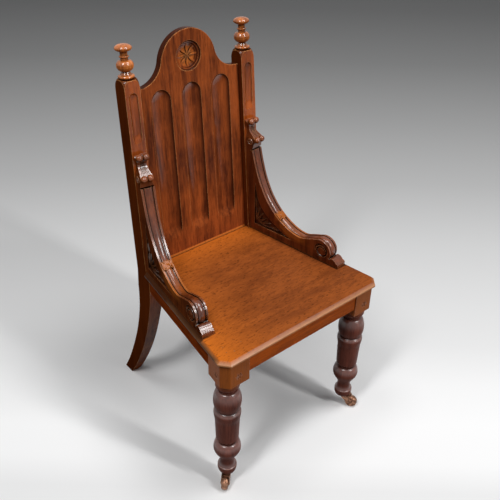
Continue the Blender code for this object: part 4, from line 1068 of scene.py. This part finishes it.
def leaf(base, tip, width, side):
    """A pointed leaf in low relief on the floor of the recess, veined down its middle."""
    base, tip = Vector(base), Vector(tip)
    run = tip - base
    aside = Vector((-run.y, run.x)).normalized()
    floor = wing_half - recess_depth
    rings = []
    for i in range(15):
        share = 0.02 + 0.96 * i / 14
        half = width / 2 * (sin(pi * share ** 0.7) ** 0.8 + 0.06)
        ring = []
        for j in range(13):
            across = -1 + j / 6
            height = (1 - across * across) ** 0.5 * sin(pi * share) ** 0.5
            height -= 0.45 * max(0, 1 - abs(across) * 4) * sin(pi * share) ** 0.5
            height -= 0.12 * abs(across) * (1 + cos(share * 34 - abs(across) * 4)) / 2
            point = base + run * share + aside * half * across
            ring.append((point.x, point.y, side * (floor + leaf_rise * max(height, 0.02))))
        for across in (1, -1):
            point = base + run * share + aside * half * across
            ring.append((point.x, point.y, side * (floor - overrun / 8)))
        rings.append(ring)
    return loft("leaf", rings)


def boss_block(path, normals):
    """The square boss on the arm, with its turned pit and corner cuts."""
    target = Vector(boss_place)
    index = min(range(len(path)), key=lambda i: (path[i] - target).length)
    point, normal = path[index], normals[index]
    spot = Matrix.Identity(4)
    for column, axis in enumerate(((normal.y, -normal.x, 0), (0, 0, 1), (normal.x, normal.y, 0))):
        spot.col[column] = (*axis, 0)
    spot.translation = (point.x, point.y, 0)
    wide = wing_half - boss_margin
    base = [(-boss_half, -wide), (boss_half, -wide), (boss_half, wide), (-boss_half, wide)]
    made = board("boss", base, band_depth + 2 * boss_rise,
                 spot @ Matrix.Translation((0, 0, -band_depth / 2)))
    made = eased(made, boss_ease)
    face = spot @ Matrix.Translation((0, 0, boss_rise))
    pit = [(0, overrun), (0.0078, overrun), (0.0078, 0), (0.0066, -0.0024), (0.0040, -0.0004),
           (0.0030, -0.0024), (0, -0.0034)]
    made = carved(made, turned("pit", pit, 40, face))
    for i in range(4):
        work = bmesh.new()
        bmesh.ops.create_uvsphere(work, u_segments=16, v_segments=10, radius=1)
        turn = Matrix.Rotation(pi / 4 + i * pi / 2, 4, "Z")
        size = Matrix.Diagonal((0.0036, 0.0015, 0.0013, 1))
        work.transform(face @ turn @ Matrix.Translation((0.0108, 0, 0)) @ size)
        made = carved(made, from_bmesh("corner cut", work))
    return made


def carved_wing():
    path = arm_path()
    normals = path_normals(path)
    made = joined(wing_body(path, normals), wing_band(path, normals))
    made = joined(made, boss_block(path, normals))
    scroll = wing_run(scroll_shares, 5)
    recess = [recess_corner] + [tuple(point) for point in reversed(wing_run(recess_shares, 4))]
    leaf_path = scroll[9:29]
    leaf_normals = path_normals(leaf_path)
    for across in (-0.0118, -0.0072, -0.0024, 0.0024, 0.0072, 0.0118):
        spread = (across * 0.35, across)
        made = carved(made, groove_tool(leaf_path, leaf_normals, spread, vein_width, vein_depth))
    toe_path = curve_through([(0.2930, 0.0133), (0.2983, 0.0107), (0.2996, 0.0065), (0.3000, 0.0010)], 6)
    toe_normals = path_normals(toe_path)
    for across in toe_cuts:
        made = carved(made, groove_tool(toe_path, toe_normals, (across, across), vein_width * 0.8,
                                        vein_depth))
    for side in (1, -1):
        made = carved(made, board("recess", recess, 2 * recess_depth, side_spot((0, 0), side)
                                  if side > 0 else Matrix.Translation((0, 0, -wing_half))))
        made = carved(made, volute_tool(side))
        across = side * (wing_half - bud_radius + bud_sunk)
        for place in (upper_bud, lower_bud):
            made = joined(made, ball((*place, across), bud_radius))
        roll = [(0, roll_rise), (0.0022, roll_rise), (0.0030, roll_rise - 0.0012),
                (0.0052, roll_rise - 0.0012), (0.0062, roll_rise), (0.0084, roll_rise),
                (roll_radius, roll_rise - 0.0010), (roll_radius, -overrun), (0, -overrun)]
        made = joined(made, turned("roll", roll, 40, side_spot(roll_place, side)))
        button, rise = volute_button
        eye = [(button * sin(pi / 2 * i / 6), rise * cos(pi / 2 * i / 6) - 0.001) for i in range(7)]
        eye += [(button, -overrun), (0, -overrun)]
        made = joined(made, turned("eye", eye, 32, side_spot(volute_eye, side)))
    return made


def widened(made):
    """Widen the arm towards its top, on its inner side, to meet the stile's width. The
    scroll above it is a little narrower."""
    for vertex in made.data.vertices:
        inward = (wing_half - vertex.co.z) / wing_thickness
        vertex.co.z -= wing_taper * inward * vertex.co.y / wing_height
        above = max(0, min(1, (vertex.co.y / wing_height - arm_shares[0][1]) / 0.03))
        vertex.co.z += pinch * above * (wing_half - vertex.co.z)
        level, reach, share = neck
        waist = max(0, 1 - ((vertex.co.y - level) / reach) ** 2)
        vertex.co.z *= 1 - share * waist
    return made


def trimmed(made, point, normal):
    """Saw off what lies beyond a plane, and close the cut."""
    work = bmesh.new()
    work.from_mesh(made.data)
    everything = work.verts[:] + work.edges[:] + work.faces[:]
    bmesh.ops.bisect_plane(work, geom=everything, plane_co=point, plane_no=normal, clear_outer=True)
    bmesh.ops.holes_fill(work, edges=[edge for edge in work.edges if edge.is_boundary])
    work.to_mesh(made.data)
    work.free()
    return made


def arm_polish_and_highlight(point):
    """Hands have rubbed the boss and the fillets below it to a lighter orange. The buds are painted lighter
    as a painted highlight, and the foot a little lighter as a painted highlight line.
    """
    away = hypot(point.x - boss_place[0], point.y - boss_place[1])
    boss = max(0, min(1, (boss_half * 1.5 - away) / 0.004))
    low = max(0, min(1, (point.x - boss_place[0]) / 0.01)) * max(0, min(1, (0.20 - point.x) / 0.03))
    edge = 1 if abs(point.z) > wing_half - band_fillet - 0.0004 and point.y > 0.030 else 0.35
    # A faint painted highlight line along the foot.
    foot = 1 if point.y < foot_shine + panel_gap else 0
    # The buds' painted highlight.
    buds = min(hypot(point.x - x, point.y - y) for x, y in (upper_bud, lower_bud))
    bud = max(0, min(1, (bud_radius * 1.1 - buds) / 0.002))
    return max(0.8 * boss, 0.75 * low * edge, 0.3 * bud, 0.1 * foot)


def recess_wax_and_shade(point):
    """The sunk ground behind the foliage is darkened, more where it lies deeper: old wax and painted shade.
    """
    curve = wing_run(recess_shares, 4)
    inside = any(start.x <= point.x <= end.x and recess_corner[1] - weld < point.y < start.y + band_ease
                 for start, end in zip(curve, curve[1:]))
    depth = (wing_half - band_ease - abs(point.z)) / recess_depth
    return 0.6 * max(0, min(1, 0.35 + depth)) if inside and depth > 0 else 0


# Faces across its lit side are darkened as painted shade.
wing_oak = oak("wing oak", (0.070, 0.015, 0.005), (0.27, 0.062, 0.015), (0.80, 0.36, 0.15),
               gloss=0.27, hollow_wax_and_shade=0.9, wear_and_highlight=0.9, polish=(0.50, 0.140, 0.020), edge_radius=0.0020,
               fleck=0.2, side_shade=0.3, lit_facing=(0, 0.8, -0.6), shaded_turn=(0.02, 0.25),
               polish_side=(0, -0.75, 0.66), polish_turn=(0.2, 0.6), polish_coat=0.9,
               coat_index=1.7)
sprays = [leaf(base, tip, width, side) for side in (1, -1) for base, tip, width in foliage]
wing = marked(marked(gathered(carved_wing(), sprays), "polish", arm_polish_and_highlight), "grime", recess_wax_and_shade)
widened(wing)
wing.data.transform(wing_spot())
raked_face = raked_spot(0, stile_face_y)
trimmed(wing, raked_face @ Vector((0, 0, panel_gap)), -(raked_face.to_3x3() @ Vector((0, 0, 1))))
trimmed(wing, (0, 0, seat_height + panel_gap), (0, 0, -1))
for side, piece in (("left", wing), ("right", mirrored(wing, "wing"))):
    dressed(piece, side + "_carved_wing", wing_oak, round_angle)
    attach(piece, "chair")
    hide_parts(side + "_wing")


# Finials
# Small oak turnings of a lighter colour, each doweled into the top of a stile.

finial_ring = (0.0190, 0.9410, 0.0042)
finial_ball = (0.0198, 0.9655, 0.0125)
finial_bead = (0.0115, 0.9855, 0.0025)
finial_button = (0.0198, 1.0040, 0.0090)
finial_neck = 0.0085
finial_hollow = 0.0128
finial_seat = 0.0176
finial_groove = 0.0011
finial_dowel = (0.0070, 0.0240)


def finial_profile():
    """From the button's crown down to the dowel's end, heights from the post's top."""
    button, bead_ring, ball_ring, ring = [
        (radius, height - stile_top, half)
        for radius, height, half in (finial_button, finial_bead, finial_ball, finial_ring)]
    profile = [(0, button[1] + button[2])]
    profile += bead(button[0], 0, button[1], button[2], 26)[1:-1]
    profile += [(finial_neck, button[1] - button[2])]
    profile += bead(bead_ring[0], finial_neck, bead_ring[1], bead_ring[2], 8)
    for radius, height in bead(ball_ring[0], finial_neck, ball_ring[1], ball_ring[2], 30):
        near = abs(height - ball_ring[1] + 0.0006) / 0.0009
        profile.append((radius - finial_groove * max(0, 1 - near), height))
    profile += bead(ring[0], finial_hollow, ring[1], ring[2], 14)
    return profile + [(finial_seat, panel_gap), (finial_dowel[0], panel_gap),
                      (finial_dowel[0], -finial_dowel[1]), (0, -finial_dowel[1])]


finial_oak = oak("finial oak", (0.20, 0.045, 0.007), (0.84, 0.245, 0.045), (0.95, 0.50, 0.19),
                 gloss=0.15, shine=0.02, hollow_wax_and_shade=1.0, fleck=0.3, polish_turn=(-0.1, 0.5),
                 polish_coat=0.8, coat_index=1.8)
finial = turned("finial", finial_profile(), 72, post_spot(stile_top))
for side, piece in (("left", finial), ("right", mirrored(finial, "finial"))):
    dressed(piece, side + "_turned_finial", finial_oak, round_angle)
    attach(piece, "chair")
    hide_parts(side + "_finial")


# Glue blocks, dowels and wood screws
# Rough deal blocks are glued in the corners of the frame and screwed up into the seat, and
# beech dowels pin the wings. All are hidden, so their solids take a finish as they are.


def plain_wood(name, deep, mid):
    """Bare softwood or beech, with its grain and a dry surface."""
    made, shader, start = new_finish(name)
    place = start.node("ShaderNodeTexCoord", output=3)
    run = place.stretched(along_height)
    streak = run.noise(260.0, 3.0)
    figure = run.noise(70.0, 3.0)
    tone = (streak * 0.6 + figure * 0.7 - 0.2).within(0.15, 0.75)
    colour = start.node("ShaderNodeMix", {"data_type": "RGBA"},
                        {0: tone, 6: (*deep, 1), 7: (*mid, 1)}, output=2)
    rough = streak * 0.2 + 0.55
    bump = start.node("ShaderNodeBump", None, {"Strength": 0.3, "Distance": 0.0004,
                                               "Height": streak})
    made.node_tree.links.new(colour.socket, shader.inputs["Base Color"])
    made.node_tree.links.new(rough.socket, shader.inputs["Roughness"])
    made.node_tree.links.new(bump.socket, shader.inputs["Normal"])
    return made


def worn_metal(name, dull, bright, rough_low, rough_high, grime):
    """Old metal: brown tarnish in the hollows and a rubbed shine where it is touched."""
    made, shader, start = new_finish(name)
    place = start.node("ShaderNodeTexCoord", output=3)
    cloud = place.noise(120.0, 4.0, 0.6)
    fine = place.noise(900.0, 3.0, 0.6)
    shade = start.node("ShaderNodeAmbientOcclusion", {"samples": 5, "only_local": True},
                       {"Distance": 0.006}, output=1)
    hollow = 1 - shade.within(0.3, 0.9)
    tone = cloud.within(0.35, 0.65)
    colour = start.node("ShaderNodeMix", {"data_type": "RGBA"},
                        {0: tone, 6: (*dull, 1), 7: (*bright, 1)}, output=2)
    colour = colour.mixed(hollow * grime, (*dark_wax_and_shade, 1))
    rough = cloud * (rough_high - rough_low) + rough_low + hollow * 0.2
    bump = start.node("ShaderNodeBump", None, {"Strength": 0.2, "Distance": 0.0002,
                                               "Height": fine + cloud})
    made.node_tree.links.new(colour.socket, shader.inputs["Base Color"])
    made.node_tree.links.new(rough.socket, shader.inputs["Roughness"])
    made.node_tree.links.new(bump.socket, shader.inputs["Normal"])
    shader.inputs["Metallic"].default_value = 1.0
    return made


deal = plain_wood("deal", (0.30, 0.17, 0.07), (0.50, 0.32, 0.15))
beech = plain_wood("beech", (0.38, 0.22, 0.11), (0.55, 0.36, 0.20))
screw_steel = worn_metal("screw steel", (0.16, 0.14, 0.12), (0.32, 0.30, 0.28), 0.35, 0.6, 0.6)
for side in ("left", "right"):
    for node, finish in (("_front_glue_block", deal), ("_rear_glue_block", deal),
                         ("_wing_front_dowel", beech), ("_wing_rear_dowel", beech),
                         ("_wing_stile_dowel", beech), ("_front_block_screw", screw_steel),
                         ("_rear_block_screw", screw_steel)):
        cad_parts[side + node].data.materials.clear()
        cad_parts[side + node].data.materials.append(finish)


# Casters
# Old cast brass, worn to a coppery brown: a plate screwed under the leg's toe, a forked horn
# that swivels in it on a pin, and a crowned wheel on a riveted axle.

caster_trail = 0.027
wheel_radius = 0.0175
wheel_half = 0.0155 / 2
wheel_crown = 0.0016
wheel_line = 0.0008
wheel_shares = (0.40, 0.46, 0.27)
plate_radius = 0.017
plate_thickness = 0.0024
pin_radius = 0.0036
pin_length = 0.024
horn_boss = 0.0082
horn_boss_foot = 0.0066
cheek_thickness = 0.0024
cheek_gap = 0.0007
roof_gap = 0.0008
cheek_eye = 0.0056
cheek_start = radians(-150)
cheek_end = radians(20)
roof_reach = 0.023
throat = (0.006, 0.0254)
axle_radius = 0.0022
axle_head = 0.0036
axle_crown = 0.0025
axle_rise = 0.0010
screw_circle = 0.0118
screw_head = (0.0028, 0.0016)
screw_shank = 0.0014
horn_ease = 0.0005
trail_directions = {"left": (-0.0218, -0.0189, 0), "right": (0.0135, -0.0245, 0)}


def caster_spot(side):
    """The swivel's own frame: x along the wheel's trail, origin on the floor."""
    along = Vector(trail_directions[side]).normalized()
    spot = Matrix.Identity(4)
    for column, axis in enumerate((along, Vector((-along.y, along.x, 0)), Vector((0, 0, 1)))):
        spot.col[column] = (*axis, 0)
    spot.translation = (-leg_x if side == "left" else leg_x, leg_y, 0)
    return spot


axle_spot = Matrix.Translation((caster_trail, 0, wheel_radius)) @ Matrix.Rotation(pi / 2, 4, "X")


def horn():
    roof_top = leg_foot - plate_thickness - 2 * panel_gap
    roof_bottom = 2 * wheel_radius + roof_gap
    inner = wheel_half + cheek_gap
    outer = inner + cheek_thickness
    boss = [(0, roof_top), (horn_boss - 0.0006, roof_top), (horn_boss, roof_top - 0.0006),
            (horn_boss, roof_bottom), (horn_boss_foot, roof_bottom - overrun),
            (0, roof_bottom - overrun - panel_gap)]
    made = turned("horn", boss, 48)
    cheek = arc((caster_trail, wheel_radius), cheek_eye, cheek_start, cheek_end, 24)
    cheek += [(roof_reach, roof_top - panel_gap), (0, roof_top - panel_gap),
              (0, roof_bottom - overrun), throat]
    for side in (1, -1):
        spot = Matrix.Translation((0, side * (inner + outer) / 2, 0)) @ Matrix.Rotation(pi / 2, 4, "X")
        made = joined(made, eased(board("cheek", cheek, cheek_thickness, spot), horn_ease))
    roof = board("roof", [(0, panel_gap - outer), (roof_reach - panel_gap, panel_gap - outer),
                          (roof_reach - panel_gap, outer - panel_gap), (0, outer - panel_gap)],
                 roof_top - roof_bottom - 2 * panel_gap,
                 Matrix.Translation((0, 0, (roof_top + roof_bottom) / 2 - panel_gap)))
    made = joined(made, eased(roof, horn_ease))
    pin = [(0, leg_foot + pin_length - 0.0024), (pin_radius, leg_foot + pin_length - 0.0024),
           (pin_radius, roof_bottom), (0, roof_bottom)]
    made = joined(made, turned("pin", pin, 32))
    room = [(0, inner), (wheel_radius + roof_gap, inner), (wheel_radius + roof_gap, -inner), (0, -inner)]
    hole = [(0, outer * 2), (axle_radius + 0.0002, outer * 2), (axle_radius + 0.0002, -outer * 2),
            (0, -outer * 2)]
    made = carved(made, turned("room", room, 72, axle_spot))
    return carved(made, turned("hole", hole, 32, axle_spot))


def axle():
    reach = wheel_half + cheek_gap + cheek_thickness + panel_gap
    half = [(0, reach + axle_rise), (axle_crown * 0.6, reach + axle_rise * 0.95),
            (axle_crown, reach + axle_rise * 0.8), (axle_head, reach), (axle_radius, reach)]
    return turned("axle", half + [(radius, -height) for radius, height in reversed(half)], 32, axle_spot)


def wheel():
    bore = axle_radius + 0.0004
    hub, web, crown = (share * wheel_radius for share in wheel_shares)
    edge = wheel_radius - wheel_crown
    side = [(bore, wheel_half), (hub, wheel_half), (web, wheel_half - wheel_line),
            (edge - wheel_line, wheel_half), (edge, wheel_half - wheel_line)]
    rim = wheel_half - wheel_line
    tread = [(edge + wheel_crown * (1 - (i / 6) ** 2.4), rim * i / 6) for i in range(5, 0, -1)]
    half = side + tread + [(wheel_radius, crown * 0.2)]
    profile = half + [(radius, -height) for radius, height in reversed(half)]
    return turned("wheel", profile + profile[:1], 72, axle_spot)


def plate():
    top = leg_foot - panel_gap
    bottom = top - plate_thickness
    bore = pin_radius + 0.0004
    profile = [(bore, top), (plate_radius - 0.0003, top), (plate_radius, top - 0.0003),
               (plate_radius, bottom + 0.0009), (plate_radius - 0.0003, bottom + 0.0003),
               (plate_radius - 0.0009, bottom), (bore, bottom), (bore, top)]
    made = turned("plate", profile, 64)
    for i in range(3):
        angle = pi / 2 + 2 * pi * i / 3
        spot = Matrix.Translation((screw_circle * cos(angle), screw_circle * sin(angle), bottom))
        hole = [(0, overrun), (screw_shank, overrun), (screw_shank, screw_head[1]),
                (screw_head[0], 0), (screw_head[0], -overrun), (0, -overrun)]
        made = carved(made, turned("hole", hole, 24, spot))
    return made


brass = worn_metal("brass", (0.11, 0.052, 0.032), (0.40, 0.21, 0.13), 0.30, 0.5, 0.8)
for side in ("left", "right"):
    spot = caster_spot(side)
    fixed = Matrix.Translation(spot.translation)
    for made, part, body, place in ((plate(), "plate", "chair", fixed),
                                    (horn(), "horn", side + "_caster", spot),
                                    (axle(), "axle", side + "_caster", spot),
                                    (wheel(), "wheel", side + "_wheel", spot)):
        made.data.transform(place)
        dressed(made, side + "_brass_" + part, brass, plain_angle)
        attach(made, body)
        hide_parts(side + "_caster_" + part)
    for number in ("1", "2", "3"):
        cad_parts[side + "_caster_screw_" + number].data.materials.clear()
        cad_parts[side + "_caster_screw_" + number].data.materials.append(brass)


# Studio
# A pale floor whose colour darkens away from the camera, a painted falloff of light, two
# large soft lamps, and the camera where the photograph was taken from.

camera_place = (-0.9525, -1.1608, 1.5232)
camera_yaw = -0.7151
camera_pitch = 0.6000
camera_roll = 0.0249
camera_lens = 51.27
floor_half = 14.0
floor_near = 1.15
floor_far = 5.6
# Painted falloff of light on the floor: its grey at shares of the distance from the camera.
painted_falloff_stops = ((0.0, 0.856), (0.021, 0.973), (0.052, 1.0), (0.087, 0.97), (0.127, 0.87), (0.174, 0.83),
               (0.257, 0.744), (0.365, 0.592), (0.509, 0.482), (0.711, 0.36), (0.967, 0.297))
floor_bounce = 0.18
shown_rays = ("Is Camera Ray", "Is Glossy Ray", "Is Transmission Ray")
haze = 0.60


def floor_finish():
    """Matt studio paper; its colour falls off with distance along the camera's line, a painted falloff of
    light.
    """
    made, shader, start = new_finish("studio floor")
    place = start.node("ShaderNodeTexCoord", output=3)
    away = start.node("ShaderNodeVectorMath", {"operation": "DOT_PRODUCT"},
                      {0: place, 1: (sin(-camera_yaw), cos(camera_yaw), 0)}, output=1)
    start_away = camera_place[0] * sin(-camera_yaw) + camera_place[1] * cos(camera_yaw)
    share = (away - (start_away + floor_near)) * (1 / (floor_far - floor_near))
    stops = [(spot, (grey, grey, grey)) for spot, grey in painted_falloff_stops]
    colour = start.node("ShaderNodeValToRGB", {"stops": stops}, {0: share})
    seen = sum(start.node("ShaderNodeLightPath", output=ray) for ray in shown_rays)
    shown = start.node("ShaderNodeMix", {"data_type": "RGBA"},
                       {0: seen, 6: (floor_bounce, floor_bounce, floor_bounce, 1), 7: colour}, output=2)
    made.node_tree.links.new(shown.socket, shader.inputs["Base Color"])
    shader.inputs["Roughness"].default_value = 0.9
    shader.inputs["Specular IOR Level"].default_value = 0.1
    return made


floor = board("floor", [(-floor_half, -floor_half), (floor_half, -floor_half),
                        (floor_half, floor_half), (-floor_half, floor_half)], 0.02,
              Matrix.Translation((0, 0, -0.01)))
dressed(floor, "studio_floor", floor_finish())


def soft_lamp(name, toward, distance, size, power):
    """A square soft lamp that shines on the middle of the chair."""
    target = Vector((0, 0, seat_height))
    data = bpy.data.lights.new(name, "AREA")
    data.shape = "RECTANGLE"
    data.size, data.size_y = size
    data.energy = power
    lamp = bpy.data.objects.new(name, data)
    bpy.context.scene.collection.objects.link(lamp)
    lamp.location = target + Vector(toward).normalized() * distance
    lamp.rotation_euler = (target - lamp.location).to_track_quat("-Z", "Y").to_euler()
    return lamp


soft_lamp("front lamp", (0.230, -0.743, 0.629), 5.0, (0.35, 2.2), 90)
soft_lamp("right lamp", (0.234, -0.234, 0.944), 5.5, (1.8, 1.8), 108)
soft_lamp("left lamp", (-0.546, -0.177, 0.819), 5.0, (0.6, 2.0), 92)
soft_lamp("back lamp", (-0.224, 0.129, 0.966), 5.0, (1.4, 1.4), 36)

world = bpy.data.worlds.new("studio")
bpy.context.scene.world = world
world.use_nodes = True
sky = Wire(world.node_tree)
seen = sum(sky.node("ShaderNodeLightPath", output=ray) for ray in shown_rays)
dim = sky.node("ShaderNodeBackground", None, {"Color": (0.9, 0.95, 1.0, 1), "Strength": 0.06})
pale = sky.node("ShaderNodeBackground", None, {"Color": (haze, haze, haze, 1), "Strength": 1.0})
both = sky.node("ShaderNodeMixShader", None, {0: seen, 1: dim, 2: pale})
world.node_tree.links.new(both.socket, world.node_tree.nodes["World Output"].inputs["Surface"])

camera_data = bpy.data.cameras.new("camera")
camera_data.sensor_width = 36
camera_data.lens = camera_lens
camera_data.clip_end = 60
camera = bpy.data.objects.new("camera", camera_data)
bpy.context.scene.collection.objects.link(camera)
ahead = Vector((sin(-camera_yaw) * cos(camera_pitch), cos(camera_yaw) * cos(camera_pitch),
                -sin(camera_pitch)))
level = Vector((cos(camera_yaw), -sin(-camera_yaw), 0))
upward = level.cross(ahead)
across = cos(camera_roll) * level + sin(camera_roll) * upward
above = cos(camera_roll) * upward - sin(camera_roll) * level
stand = Matrix.Identity(4)
for column, axis in enumerate((across, above, -ahead)):
    stand.col[column] = (*axis, 0)
stand.translation = camera_place
camera.matrix_world = stand
bpy.context.scene.camera = camera
bpy.context.scene.view_settings.view_transform = "Standard"
